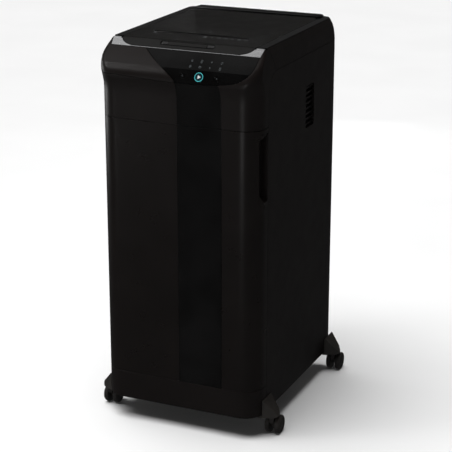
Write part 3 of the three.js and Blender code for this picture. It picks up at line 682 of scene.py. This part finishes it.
def make_shoulder():
    base = SHOULDER_BOTTOM
    left_edge = strip_edge(STRIP_LEFT - STRIP_JOINT, STRIP_LEAN[0])
    right_edge = strip_edge(STRIP_RIGHT + STRIP_JOINT, STRIP_LEAN[1])
    left = [(seam(base, -1), base)] + left_edge
    left += unrolled(shoulder_line(left_edge[-1][0], -HALF, 0))
    left += seam_line(SHOULDER_END, base, -1)[:-1]
    right = [(STRIP_RIGHT + STRIP_JOINT, base)]
    right += seam_line(base, SHELL_TOP, 1)
    right += unrolled([(x + GAP, z) for x, z in SHELL_CORNER[::-1]])
    right += unrolled(panel_edge(GAP)[::-1])
    right += unrolled(shoulder_line(PANEL_BASE_END, right_edge[-1][0], 0))
    right += right_edge[::-1][:-1]
    piece = skin("front_shoulder_shell", [[left], [right]], front_point, SHELL, WALL, 0.8, 5)
    stand_for(piece, "front_shoulder")


def make_bezel():
    loop = unrolled(shoulder_line(-HALF, -3, GAP)) + unrolled(diagonal(-GAP / 2))
    loop += unrolled([(-x - GAP, z) for x, z in SHELL_CORNER])
    loop += seam_line(SHELL_TOP, SHOULDER_END + GAP, -1)
    rows = spaced(SLOPE_ROWS, CREASE, 5) + spaced(CREASE, SHELL_TOP, 5)[1:]
    piece = skin("bezel_shell", [[loop]], front_point, SHELL, WALL, 0.9, 5, rows, CREASE)
    stand_for(piece, "bezel")


def make_panel():
    loop = shoulder_line(PANEL_START, PANEL_BASE_END, GAP) + panel_edge(0) + diagonal(GAP / 2)[::-1]
    rows = spaced(SLOPE_ROWS, CREASE, 5) + spaced(CREASE, TRIM_BOTTOM, 5)[1:]
    holes = []
    for x, _, z, radius in KEYS.values():
        reach = radius + KEY_CLEARANCE
        holes.append(arc(x, z, reach, reach * math.cos(KEY_TILT), 0, 351, 39))
    piece = skin("control_panel_face", [[loop] + holes], front_point, PANEL, WALL, 0.7, 4, rows, CREASE)
    stand_for(piece, "control_panel")


def make_strips():
    outline = [(STRIP_LEFT, DRAWER_BOTTOM), (STRIP_RIGHT, DRAWER_BOTTOM),
               (STRIP_RIGHT, DRAWER_TOP), (STRIP_LEFT, DRAWER_TOP)]
    lower = skin("drawer_gloss_strip", [[outline]], front_point, GLOSS, STRIP_WALL, 0.6, 12)
    stand_for(lower, "drawer_strip")
    left_edge = strip_edge(STRIP_LEFT, STRIP_LEAN[0])
    right_edge = strip_edge(STRIP_RIGHT, STRIP_LEAN[1])
    loop = [left_edge[0]] + right_edge + shoulder_line(right_edge[-1][0], left_edge[-1][0], -GAP)[1:-1]
    loop += left_edge[:0:-1]
    upper = skin("shoulder_gloss_strip", [[loop]], front_point, GLOSS, STRIP_WALL, 0.6, 5)
    stand_for(upper, "shoulder_strip")


def make_kick_plate():
    loop = [(seam(BODY_BOTTOM, -1), BODY_BOTTOM), (seam(BODY_BOTTOM, 1), BODY_BOTTOM)]
    loop += [(seam(KICK_TOP, 1), KICK_TOP), (seam(KICK_TOP, -1), KICK_TOP)]
    piece = skin("kick_plate_shell", [[loop]], front_point, SHELL, WALL, 1.0, 8)
    stand_for(piece, "kick_plate")


def lip_arc(grow, side, start, end):
    centre = side * (LIP_HALF - LIP_CORNER)
    return arc(centre, FACE_TOP, LIP_CORNER + grow, FACE_TOP - LIP_BOTTOM + grow, start, end, 14)


def make_trim():
    """Silver corner wedges beside the lid's lip, joined under it by a thin bright line."""
    sunk = Vector((0, 0.3 * MM, 0))
    foot, head = TRIM_BOTTOM + 0.7, TRIM_BOTTOM + 1.7
    line_half = 150

    def shifted(s, z):
        return front_point(s, z) + sunk

    wedges = []
    for side in (1, -1):
        outer = [(line_half, foot), (203, foot), (207.3, 1020.6), (185, 1020.6), (185, 1018.2)]
        loop = outer + lip_arc(0.8, 1, 289, 350)[::-1]
        wedges.append([[(side * x, z) for x, z in loop]])
    line = [(-line_half, foot), (line_half, foot), (line_half, head), (-line_half, head)]
    piece = skin("trim_band_silver", wedges + [[line]], shifted, SILVER, 1.6, 0.25, 5)
    stand_for(piece, "trim_band")


# ---- Keys and printed marks ----

KEY_TILT = math.radians(24.7)
KEY_OUT = Vector((0, -math.cos(KEY_TILT), math.sin(KEY_TILT)))
KEY_ROW = 953
KEY_LIFT = 0.4
# Each key's place across, depth and height, and its radius.
KEYS = {
    "start_button": (63, 1.1, KEY_ROW, 12),
    "reverse_button": (19, 0, KEY_ROW, 6.5),
    "forward_button": (111, 0, KEY_ROW, 6.5),
}


def key_point(key, u, v, lift=0.0):
    """A place on a key's face: u across, v up the slope, lift above it."""
    x, depth, z, _ = KEYS[key]
    up = Vector((0, math.sin(KEY_TILT), math.cos(KEY_TILT)))
    return place(x + u, depth, z) + up * v * MM + KEY_OUT * (KEY_LIFT + lift) * MM


def stroke(points, width):
    """A flat ribbon along a line, as a closed outline."""
    left, right = [], []
    for i, point in enumerate(points):
        before, after = points[max(i - 1, 0)], points[min(i + 1, len(points) - 1)]
        along = Vector((after[0] - before[0], after[1] - before[1])).normalized() * width / 2
        left.append((point[0] - along.y, point[1] + along.x))
        right.append((point[0] + along.y, point[1] - along.x))
    return left + right[::-1]


def print_marks(name, shapes, surface, ink, node):
    """Flat printed shapes laid on a surface that takes (u, v)."""
    points, faces = [], []
    for shape in shapes:
        flat, triangles = triangulated([fine(shape, 3)], [], [])
        start = len(points)
        points += [surface(u, v) for u, v in flat]
        faces += [[start + i for i in triangle] for triangle in triangles]
    stand_for(make_object(name, points, faces, ink), node, hide=False)


def ring_shapes(u, v, radius, width, start=0, end=360):
    """A ring or part of one, as two or more ribbons so that none closes on itself."""
    half = (start + end) / 2
    return [stroke(arc(u, v, radius, radius, a, b, 14), width) for a, b in ((start, half), (half, end))]


def glyph(kind, u, v, size):
    """Generic pictograms: plain signs of a key or of what may be fed in."""
    w = size * 0.13
    if kind == "sheet":
        outline = [(-0.36, -0.5), (0.36, -0.5), (0.36, 0.5), (-0.36, 0.5), (-0.36, -0.5)]
        lines = [outline[i:i + 2] for i in range(4)] + [[(-0.18, y), (0.18, y)] for y in (-0.15, 0.15)]
    elif kind == "card":
        outline = [(-0.5, -0.32), (0.5, -0.32), (0.5, 0.32), (-0.5, 0.32), (-0.5, -0.32)]
        lines = [outline[i:i + 2] for i in range(4)] + [[(-0.5, 0.12), (0.5, 0.12)]]
    elif kind == "bars":
        lines = [[(x, -0.4), (x, 0.4)] for x in (-0.3, 0, 0.3)]
    elif kind == "up":
        lines = [[(-0.4, -0.1), (0, 0.35)], [(0, 0.35), (0.4, -0.1)], [(0, -0.4), (0, 0.2)]]
    elif kind == "left":
        lines = [[(0.3, 0.4), (-0.3, 0)], [(-0.3, 0), (0.3, -0.4)]]
    elif kind == "right":
        lines = [[(-0.3, 0.4), (0.3, 0)], [(0.3, 0), (-0.3, -0.4)]]
    elif kind == "disc":
        return ring_shapes(u, v, size * 0.46, w) + ring_shapes(u, v, size * 0.14, w)
    elif kind == "power":
        bar = stroke([(u, v), (u, v + size * 0.5)], w)
        return ring_shapes(u, v, size * 0.42, w, 120, 420) + [bar]
    else:
        lines = [[(-0.15, -0.3), (-0.15, 0.4)], [(0.15, -0.4), (0.15, 0.3)], [(-0.15, 0.4), (0.15, 0.3)]]
    return [stroke([(u + x * size, v + y * size) for x, y in line], w) for line in lines]


def on_panel(u, v):
    return front_point(u, v) + Vector((0, -0.1, 0.1)) * MM


def on_lid(u, v):
    return place(u, v, RIM_TOP + 0.06)


def make_keys():
    for key, (_, _, _, radius) in KEYS.items():
        big = key == "start_button"
        face, slot = (KEY_FACE, "teal") if big else (PANEL, "gloss")
        edge, foot, top = 0.5, -4, KEY_LIFT
        outer = [(0, foot), (radius, foot), (radius, top - edge)]
        outer += [(radius - 0.15, top - 0.15), (radius - edge, top)]
        inner = [(radius - 2.6, top), (radius - 3.0, -0.1)] if big else [(radius - 1.2, 0.35)]
        profile = outer + inner + [(0, inner[-1][1])]
        cap = lathe(key + "_cap", profile, key_point(key, 0, 0, -KEY_LIFT), KEY_OUT, face)
        stand_for(cap, key)
    ring = [(10, 0.3), (10, 0.55), (10.3, 0.75), (11.2, 0.75), (11.5, 0.55), (11.5, 0.3), (10, 0.3)]
    light = lathe("start_light_ring", ring, key_point("start_button", 0, 0, -KEY_LIFT), KEY_OUT, TEAL)
    stand_for(light, "start_button", hide=False)
    play = [(-3.2, -5), (5.4, 0), (-3.2, 5)]
    marks = [
        ("start_play_sign", "start_button", [play], WHITE_INK, 0.0),
        ("reverse_sign", "reverse_button", glyph("left", 0, 0, 5), DIM_INK, 0.05),
        ("forward_sign", "forward_button", glyph("right", 0, 0, 5), DIM_INK, 0.05),
    ]
    for name, key, shapes, ink, lift in marks:
        def on_key(u, v, key=key, lift=lift):
            return key_point(key, u, v, lift)

        print_marks(name, shapes, on_key, ink, key)


def make_panel_marks():
    kinds = ["bars", "sheet", "up", "power", "disc", "card", "clip", "sheet"]
    columns, rows, size = (33, 59, 85.5, 113), (986, 974.5), 5.2
    places = [(x, z) for z in rows for x in columns]
    shapes = [shape for kind, (x, z) in zip(kinds, places) for shape in glyph(kind, x, z, size)]
    print_marks("panel_signs", shapes, on_panel, DIM_INK, "control_panel")


def make_lid_marks():
    kinds = ["sheet", "clip", "card", "disc", "bars", "sheet", "card"]
    start, pitch, row, size = 14, 18.5, 146, 9
    shapes = []
    for i, kind in enumerate(kinds):
        shapes += glyph(kind, start + i * pitch, row, size)
    shapes += glyph("sheet", -129, 151, size)
    shapes += glyph("up", 0, 208, 8)
    print_marks("lid_signs", shapes, on_lid, INK, "lid_shell")


# ---- Lid ----

BEND_START = 1020.29  # where the lip begins to bend over into the flat top
BEND_RADIUS = 8
LIP_REAR, TOP_FRONT = 77, 84  # depths between which the lip widens into the lid's flat top
SKIRT_REAR, SKIRT_BOTTOM = 486, 1008.2
LATCH_POCKET = (-68, 72, 1015.8, 4.2)  # centres of its ends across, their height and radius


def lid_point(x, v):
    """The lid's outer surface: v is the height up the lip, and past the bend the depth behind it."""
    start_depth = front_row(BEND_START)[0]
    if v <= BEND_START:
        return place(x, front_row(v)[0], v)
    past = v - BEND_START
    slope = math.asin(min(1.0, math.sqrt(1 - (1 - (RIM_TOP - BEND_START) / BEND_RADIUS) ** 2)))
    bend_length = BEND_RADIUS * math.sin(slope)
    if past >= bend_length:
        return place(x, start_depth + past, RIM_TOP)
    left = bend_length - past
    drop = BEND_RADIUS - math.sqrt(BEND_RADIUS**2 - left**2)
    return place(x, start_depth + past, RIM_TOP - drop)


def lid_v(depth):
    """The lid's second coordinate at a depth behind the bend."""
    return BEND_START + depth - front_row(BEND_START)[0]


def make_lid_top():
    rear = lid_v(LID_HINGE_DEPTH)
    loop = lip_arc(0, -1, 183, 270) + lip_arc(0, 1, 270, 357)
    loop += [(LIP_HALF, lid_v(LIP_REAR)), (LID_HALF, lid_v(TOP_FRONT))]
    loop += rear_corners(LID_HALF, rear, LID_CORNER)
    loop += [(-LID_HALF, lid_v(TOP_FRONT)), (-LIP_HALF, lid_v(LIP_REAR))]
    slot_hole = rounded_box(CHUTE_LEFT - GAP, CHUTE_RIGHT + GAP, lid_v(CHUTE_FRONT - GAP),
                            lid_v(CHUTE_REAR + GAP), 2)
    rows = spaced(LIP_BOTTOM, BEND_START, 2.5) + [BEND_START + step for step in (1.2, 2.4, 3.6, 5)]
    rows += spaced(lid_v(TOP_FRONT), rear, 14)
    top = skin("lid_top_shell", [[loop, slot_hole, latch_pocket(0)]], lid_point, LID, 2.6, 0.7, 6, rows)
    stand_for(top, "lid_shell")


def make_lid_skirt():
    """The rib that hangs under the lid's top and drops into the head."""
    wall, edge, top = 2.6, 0.6, RIM_TOP - 2.9
    section = [(0, top), (0, SKIRT_BOTTOM + edge), (edge, SKIRT_BOTTOM)]
    section += [(wall - edge, SKIRT_BOTTOM), (wall, SKIRT_BOTTOM + edge), (wall, top)]
    rings = box_rings(section, -LIP_HALF, LIP_HALF, TOP_FRONT, SKIRT_REAR, 8, 5)
    skirt = stack("lid_skirt", rings, LID, (False, False))
    stand_for(skirt, "lid_shell", hide=False)


def make_hinge_barrel():
    centre = place(0, LID_HINGE_DEPTH, sum(corner[2] for corner in millimetres("hinge_rod")) / 2)
    bore, radius, half, edge = 3.1, 6.3, 160, 0.4
    profile = [(bore, -half + edge), (radius - edge, -half), (radius, -half + 0.6)]
    profile += [(radius, half - 0.6), (radius - edge, half), (bore, half - edge)]
    barrel = lathe("lid_hinge_barrel", profile, centre, (1, 0, 0), LID, 24)
    stand_for(barrel, "lid_shell", hide=False)


def latch_pocket(grow):
    left, right, z, radius = LATCH_POCKET
    radius += grow
    return arc(left, z, radius, radius, 90, 270, 10) + arc(right, z, radius, radius, -90, 90, 10)


def make_latch():
    floor_depth, flap_depth = 2.9, 0.5

    def recessed(x, z):
        return place(x, front_row(z)[0] + floor_depth, z)

    def flap_surface(x, z):
        return place(x, front_row(z)[0] + flap_depth, z)

    floor = skin("latch_recess_floor", [[latch_pocket(0.6)]], recessed, CHUTE, 0.8, 0, 4)
    stand_for(floor, "lid_shell", hide=False)
    loop = rounded_box(LATCH_LEFT, LATCH_RIGHT, LATCH_BOTTOM, LATCH_TOP, 1.6, 5)
    flap = skin("latch_flap", [[loop]], flap_surface, LID, 1.8, 0.5, 3)
    stand_for(flap, "lid_latch")


def make_chute():
    """The manual slot's funnel: a raised rounded rim that falls into a narrow throat."""
    (x0, y0, z0), (x1, y1, z1) = millimetres("slot_chute")
    insets = [(0, z0), (0, z1 - 0.5), (0.25, z1 - 0.1), (0.8, z1), (1.5, z1 - 0.2), (2.6, z1 - 3)]
    insets += [(2.8, z1 - 9), (2.8, z0)]
    rings = box_rings(insets, x0, x1, y0, y1, 1.2, 4, (1.2, 1, 1))
    piece = stack("manual_slot_funnel", rings + [rings[0]], CHUTE, (False, False))
    stand_for(piece, "slot_chute")


# ---- Head ----

RIM_JOINT = 1020.2
RIM_FRONT = 80


def head_path(z, inset=0.0):
    """The head's plan at a height, from the left seam round the rear to the right seam."""
    half, rear, radius = (hermite(HEAD_PROFILE, z, column) for column in (1, 2, 3))
    half, rear, radius = half - inset, rear - inset, radius - inset
    start = front_row(z)[3] + GAP
    side = [(half, start + (rear - radius - start) * i / 24) for i in range(24)]
    corner = arc(half - radius, rear - radius, radius, radius, 0, 90, 12)
    back = [((half - radius) * (1 - i / 6), rear) for i in range(1, 6)]
    right = side + corner + back
    return [(-x, depth) for x, depth in right] + [(0, rear)] + right[::-1]


def make_head_wall():
    heights = spaced(HEAD_BOTTOM, RIM_JOINT, 3.2)
    lines = [[place(x, depth, z) for x, depth in head_path(z)] for z in heights]
    count = len(lines[0])
    faces = [
        [r * count + i + 1, r * count + i, (r + 1) * count + i, (r + 1) * count + i + 1]
        for r in range(len(lines) - 1) for i in range(count - 1)
    ]
    wall = make_object("head_side_wall", [p for line in lines for p in line], faces, SHELL, WALL)
    round_edges(wall, 0.6)
    stand_for(wall, "head_cover")


def make_head_rim():
    """The flat gloss border round the lid."""
    def rim_surface(x, depth):
        return place(x, depth, RIM_TOP)

    edge = 1.0
    outer = [(x, depth) for x, depth in head_path(FACE_TOP, edge) if depth > RIM_FRONT + 2 * edge]
    space = 0.8
    half = LID_HALF + space
    rear = millimetres("hinge_cover")[0][1]
    inner = [(half, RIM_FRONT)] + rear_corners(half, rear, LID_CORNER + space) + [(-half, RIM_FRONT)]
    loop = [(outer[0][0], RIM_FRONT)] + outer + [(outer[-1][0], RIM_FRONT)] + inner
    rim = skin("head_gloss_rim", [[loop[::-1]]], rim_surface, GLOSS, 2.2, 0.7, 10)
    stand_for(rim, "head_cover", hide=False)


def make_hinge_cover():
    """A low rounded ridge behind the lid."""
    (x0, y0, z0), (x1, y1, z1) = millimetres("hinge_cover")
    section = [(0.4, z0), (0, z0 + 0.6), (0, z0 + 2), (1.0, z0 + 3.6)]
    section += [(3.0, z1 - 0.7), (5.5, z1 - 0.1), (8, z1)]
    rings = box_rings(section, x0, x1, y0, y1, 5, 6, (1.4, 0.8, 0.7))
    ridge = stack("hinge_cover_ridge", rings, GLOSS)
    stand_for(ridge, "hinge_cover")


# ---- Drawer, sides and rear ----

GRIP_FLOOR = 199.5
GRIP_SIDE = [(27, 661), (43, 640), (66, 640), (66, 815), (62, 815), (27, 802)]
GRIP_ROUNDING = 7
GRIP_STEP = 5
VENT = {"depth": 352, "z": 820, "width": 58, "height": 112, "slots": 8, "sink": 8}


def softened(points, radius):
    """A polygon with its corners replaced by short curves."""
    result = []
    for before, here, after in zip(points[-1:] + points[:-1], points, points[1:] + points[:1]):
        start = Vector(before) - Vector(here)
        end = Vector(after) - Vector(here)
        reach = min(radius, start.length * 0.45, end.length * 0.45)
        a = Vector(here) + start.normalized() * reach
        b = Vector(here) + end.normalized() * reach
        for i in range(6):
            t = i / 5
            result.append(tuple(a * (1 - t) ** 2 + Vector(here) * 2 * t * (1 - t) + b * t * t))
    return result


def make_drawer():
    outline = softened(GRIP_SIDE, GRIP_ROUNDING)
    islands = []
    for side, strip_x in ((-1, STRIP_LEFT - STRIP_JOINT), (1, STRIP_RIGHT + STRIP_JOINT)):
        far = seam(DRAWER_BOTTOM, side)
        loop = [(strip_x, DRAWER_BOTTOM), (far, DRAWER_BOTTOM), (far, DRAWER_TOP), (strip_x, DRAWER_TOP)]
        hole = [(around_side(depth, z, side), z) for depth, z in fine(outline, GRIP_STEP)]
        islands.append([loop, hole])
    door = skin("drawer_front_shell", islands, front_point, DOOR, WALL, 1.0, 10)
    stand_for(door, "drawer_front")
    for side, label in ((-1, "left"), (1, "right")):
        make_grip_cup(side, label, fine(outline, GRIP_STEP))


def make_grip_cup(side, label, line):
    """The recess for the fingers: from the drawer's outer face in to a flat floor."""
    middle_depth = sum(depth for depth, _ in line) / len(line)
    middle_z = sum(z for _, z in line) / len(line)
    sunk = 1.2
    rings = []
    # Each ring: how far it shrinks towards the middle, and its x, or None to follow the outer face.
    for share, floor_x in ((0, None), (0.0, GRIP_FLOOR + 3), (0.03, GRIP_FLOOR + 0.9), (0.1, GRIP_FLOOR)):
        ring = []
        for depth, z in line:
            surface = front_point(around_side(depth, z, side), z)
            x = side * surface.x / MM - sunk if floor_x is None else floor_x
            ring.append(place(side * x, depth + (middle_depth - depth) * share, z + (middle_z - z) * share))
        rings.append(ring)
    cup = stack(f"grip_cup_{label}", rings, DOOR, (False, True))
    stand_for(cup, "drawer_front", hide=False)


def make_sides():
    vent_loop = rounded_box(VENT["depth"] - VENT["width"] / 2, VENT["depth"] + VENT["width"] / 2,
                            VENT["z"] - VENT["height"] / 2, VENT["z"] + VENT["height"] / 2, 5, 8)
    flat = DEPTH - REAR_RADIUS
    end = flat + REAR_RADIUS * math.pi / 2 + REAR_RETURN
    count = 40
    heights = [SHOULDER_BOTTOM + (SIDE_TOP - SHOULDER_BOTTOM) * i / count for i in range(count + 1)]
    front_edge = [(front_row(z)[3] + GAP, z) for z in [BODY_BOTTOM] + heights]
    loop = [(end, BODY_BOTTOM), (end, SIDE_TOP)] + front_edge[::-1]
    columns = spaced(SEAM_LOW, flat, 24) + spaced(flat, end, 3)
    for side, label in ((-1, "left"), (1, "right")):
        name = f"side_panel_{label}"
        panel = side_skin(name + "_shell", [loop, vent_loop], side, columns)
        stand_for(panel, name)
        make_vent(side, label, vent_loop)


def side_skin(name, loops, side, columns):
    loops = [fine(loop, 12) for loop in loops]
    flat, triangles = triangulated(loops, spaced(BODY_BOTTOM, SIDE_TOP, 24), columns)
    surface = side_point(side)
    points = [surface(u, v) for u, v in flat]
    faces = triangles if side > 0 else [triangle[::-1] for triangle in triangles]
    piece = make_object(name, points, faces, SHELL, WALL)
    round_edges(piece, 0.8)
    return piece


def make_vent(side, label, loop):
    """A sunk frame in the side with tilted louvre blades across it."""
    middle, z_middle, height = VENT["depth"], VENT["z"], VENT["height"]
    rings = []
    for share, x in ((0.0, HALF - 0.9), (0.0, HALF - 3), (0.02, HALF - VENT["sink"])):
        ring = []
        for depth, z in loop:
            ring.append(place(side * x, depth + (middle - depth) * share, z + (z_middle - z) * share))
        rings.append(ring)
    pieces = [stack(f"vent_frame_{label}", rings, SHELL, (False, False))]
    pitch = height / VENT["slots"]
    half = VENT["width"] / 2 - GAP
    # A blade's section: how deep it lies under the side's face, and its height from its own middle.
    section = [(7.6, -5.6), (6.6, -6), (2.2, 4.2), (3.2, 4.8)]
    for i in range(VENT["slots"]):
        z = z_middle - height / 2 + pitch * (i + 0.5)
        rings = [[place(side * (HALF - sunk), middle + end, z + rise) for sunk, rise in section]
                 for end in (-half, half)]
        pieces.append(stack(f"vent_blade_{label}_{i}", rings, SHELL, bevel=0.25))
    vent = joined(f"side_vent_{label}", pieces)
    vent.data.set_sharp_from_angle(angle=math.radians(35))
    stand_for(vent, f"side_panel_{label}", hide=False)


def make_inner_pieces():
    """Pieces that show when the lid or the drawer is open, or from behind."""
    rounded_copy("waste_bin", "waste_bin_tub", DARK, 1.2)
    rounded_copy("paper_tray", "paper_tray_basin", DARK, 0.9)
    rounded_copy("pressure_plate", "pressure_plate_sheet", STEEL, 0.5)
    rounded_copy("rear_panel", "rear_panel_sheet", SHELL, 0.5)
    rounded_copy("power_inlet", "power_inlet_socket", DARK, 0.4)
    rounded_copy("mains_rocker", "mains_rocker_key", CHUTE, 0.5)
    rounded_copy("drive_motor", "drive_motor_can", MOTOR, 1.0)


# ---- Casters ----

WHEEL_RADIUS = 25
WHEEL_INNER = 6.8  # the wheel's inner and outer face, from the middle of the pair
WHEEL_OUTER = 20
STEM_BOTTOM, STEM_TOP, STEM_RADIUS = 42, 71, 4
COLLAR_MIDDLE, COLLAR_RADIUS = 52, 7.5


def make_wheels(where):
    (x0, y0, _), (x1, y1, _) = millimetres(f"caster_wheels_{where}")
    x, axle_depth = (x0 + x1) / 2, (y0 + y1) / 2
    axle = place(x, axle_depth, WHEEL_RADIUS)
    inner, outer = 2.2, 4
    tread = arc(WHEEL_INNER + inner, WHEEL_RADIUS - inner, inner, inner, 180, 90, 5)
    tread += arc(WHEEL_OUTER - outer, WHEEL_RADIUS - outer, outer, outer, 90, 0, 7)
    half = [(3.5, WHEEL_INNER), (14, WHEEL_INNER + 0.4), (18, WHEEL_INNER)]
    half += [(r, along) for along, r in tread]
    half += [(19.2, WHEEL_OUTER), (18.4, WHEEL_OUTER - 1.4)]
    half += [(16.6, WHEEL_OUTER - 1.6), (9, WHEEL_OUTER - 1.2)]
    half += [(7.6, WHEEL_OUTER - 0.5), (4, WHEEL_OUTER - 0.2), (0, WHEEL_OUTER - 0.2)]
    profile = [(r, -along) for r, along in half[::-1]] + half
    wheels = lathe(f"caster_wheel_pair_{where}", profile, axle, (1, 0, 0), TREAD)
    stand_for(wheels, f"caster_wheels_{where}")


def make_stem(where):
    """The swivel pin with its collar."""
    low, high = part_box(f"caster_stem_{where}")
    foot = (low + high) / 2
    foot.z = 0
    collar = [(STEM_RADIUS, -1.8), (COLLAR_RADIUS - 0.6, -1.4), (COLLAR_RADIUS, -0.8)]
    profile = [(0, STEM_BOTTOM), (STEM_RADIUS - 0.4, STEM_BOTTOM), (STEM_RADIUS, STEM_BOTTOM + 0.6)]
    profile += [(radius, COLLAR_MIDDLE + rise) for radius, rise in collar]
    profile += [(radius, COLLAR_MIDDLE - rise) for radius, rise in collar[::-1]]
    profile += [(STEM_RADIUS, STEM_TOP - 0.6), (STEM_RADIUS - 0.6, STEM_TOP), (0, STEM_TOP)]
    pin = lathe(f"caster_pin_{where}", profile, foot, (0, 0, 1), CHROME, 28)
    stand_for(pin, f"caster_stem_{where}")


def make_caster(where):
    make_wheels(where)
    make_stem(where)
    rounded_copy(f"caster_hood_{where}", f"caster_fork_{where}", TREAD, 1.3, 4)
    rounded_copy(f"caster_arm_{where}", f"caster_outrigger_{where}", DARK, 3.0, 5)


# ---- Studio ----

WORLD_STRENGTH = 0.045
OVERHEAD_STRENGTH = 3.3
# Each softbox: name, place, target, width and height in metres, power in watts.
SOFTBOXES = [
    ("top_softbox", (-1.2, -0.5, 3.4), (0, 0, 1.0), 1.7, 1.5, 5),
    ("key_softbox", (-2.2, -1.7, 3.0), (0, 0, 0.8), 0.8, 0.8, 18),
    ("left_strip", (-1.75, -2.6, 0.45), (-0.1, 0, 0.5), 0.16, 0.9, 1.6),
    ("right_strip", (0.2, -2.7, 0.5), (0.1, 0, 0.5), 0.4, 0.9, 3.2),
]
# These give only sheen to the mouldings, so the floor stays evenly lit.
SHEEN_SOFTBOXES = [
    ("rear_softbox", (-1.0, 2.9, 0.6), (0, 0.3, 0.5), 1.2, 1.0, 18),
    ("left_softbox", (-2.9, 0.2, 0.7), (0, 0.2, 0.5), 1.2, 1.2, 14),
]


def aim(thing, target):
    thing.rotation_euler = (Vector(target) - thing.location).to_track_quat("-Z", "Y").to_euler()


def make_softbox(name, where, target, width, height, power):
    light = bpy.data.lights.new(name, "AREA")
    light.shape = "RECTANGLE"
    light.size, light.size_y = width, height
    light.energy = power
    holder = linked(name, light)
    holder.location = where
    aim(holder, target)
    return holder


def make_floor():
    reach = 14.0
    corners = [(-reach, -reach, 0), (reach, -reach, 0), (reach, reach, 0), (-reach, reach, 0)]
    floor = bpy.data.meshes.new("studio_floor")
    floor.from_pydata(corners, [], [(0, 1, 2, 3)])
    paper = Finish("pale_paper_floor", (0.9, 0.9, 0.9), 0.9)
    paper.tint(paper.noise(2, 2), (0.88, 0.88, 0.88))
    floor.materials.append(paper.material)
    ground = linked("studio_floor", floor)
    ground.visible_glossy = False  # the mouldings don't mirror the pale paper


def make_world():
    world = bpy.data.worlds.new("soft_studio")
    bpy.context.scene.world = world
    world.use_nodes = True
    backdrop = world.node_tree.nodes["Background"]
    backdrop.inputs["Color"].default_value = (1, 1, 1, 1)
    backdrop.inputs["Strength"].default_value = WORLD_STRENGTH


def make_overhead():
    """Broad light from above that brightens the floor and isn't mirrored in the mouldings."""
    light = bpy.data.lights.new("broad_overhead", "SUN")
    light.energy = OVERHEAD_STRENGTH
    light.angle = math.radians(50)
    holder = linked("broad_overhead", light)
    holder.location = (-0.6, -0.5, 4)
    aim(holder, (0, 0, 0))
    holder.visible_glossy = False


def make_studio():
    make_floor()
    make_world()
    make_overhead()
    for row in SOFTBOXES:
        make_softbox(*row)
    for row in SHEEN_SOFTBOXES:
        make_softbox(*row).visible_diffuse = False


def make_camera():
    """A long lens in front of the cabinet, to its right and above it, with no shift."""
    azimuth, drop = math.radians(24.01), math.radians(18.27)
    camera = bpy.data.cameras.new("camera")
    camera.sensor_width = 36
    camera.lens = 121.9
    holder = linked("camera", camera)
    holder.location = (1.609, -3.590, 1.777)
    look = Vector((-math.sin(azimuth) * math.cos(drop), math.cos(azimuth) * math.cos(drop), -math.sin(drop)))
    holder.rotation_euler = look.to_track_quat("-Z", "Y").to_euler()
    bpy.context.scene.camera = holder


bpy.context.scene.view_settings.view_transform = "Standard"
make_camera()
make_studio()
make_shoulder()
make_bezel()
make_panel()
make_strips()
make_kick_plate()
make_trim()
make_keys()
make_panel_marks()
make_lid_top()
make_lid_skirt()
make_hinge_barrel()
make_latch()
make_chute()
make_lid_marks()
make_head_wall()
make_head_rim()
make_hinge_cover()
make_drawer()
make_sides()
make_inner_pieces()
for end in ("front", "rear"):
    for side in ("left", "right"):
        make_caster(f"{end}_{side}")
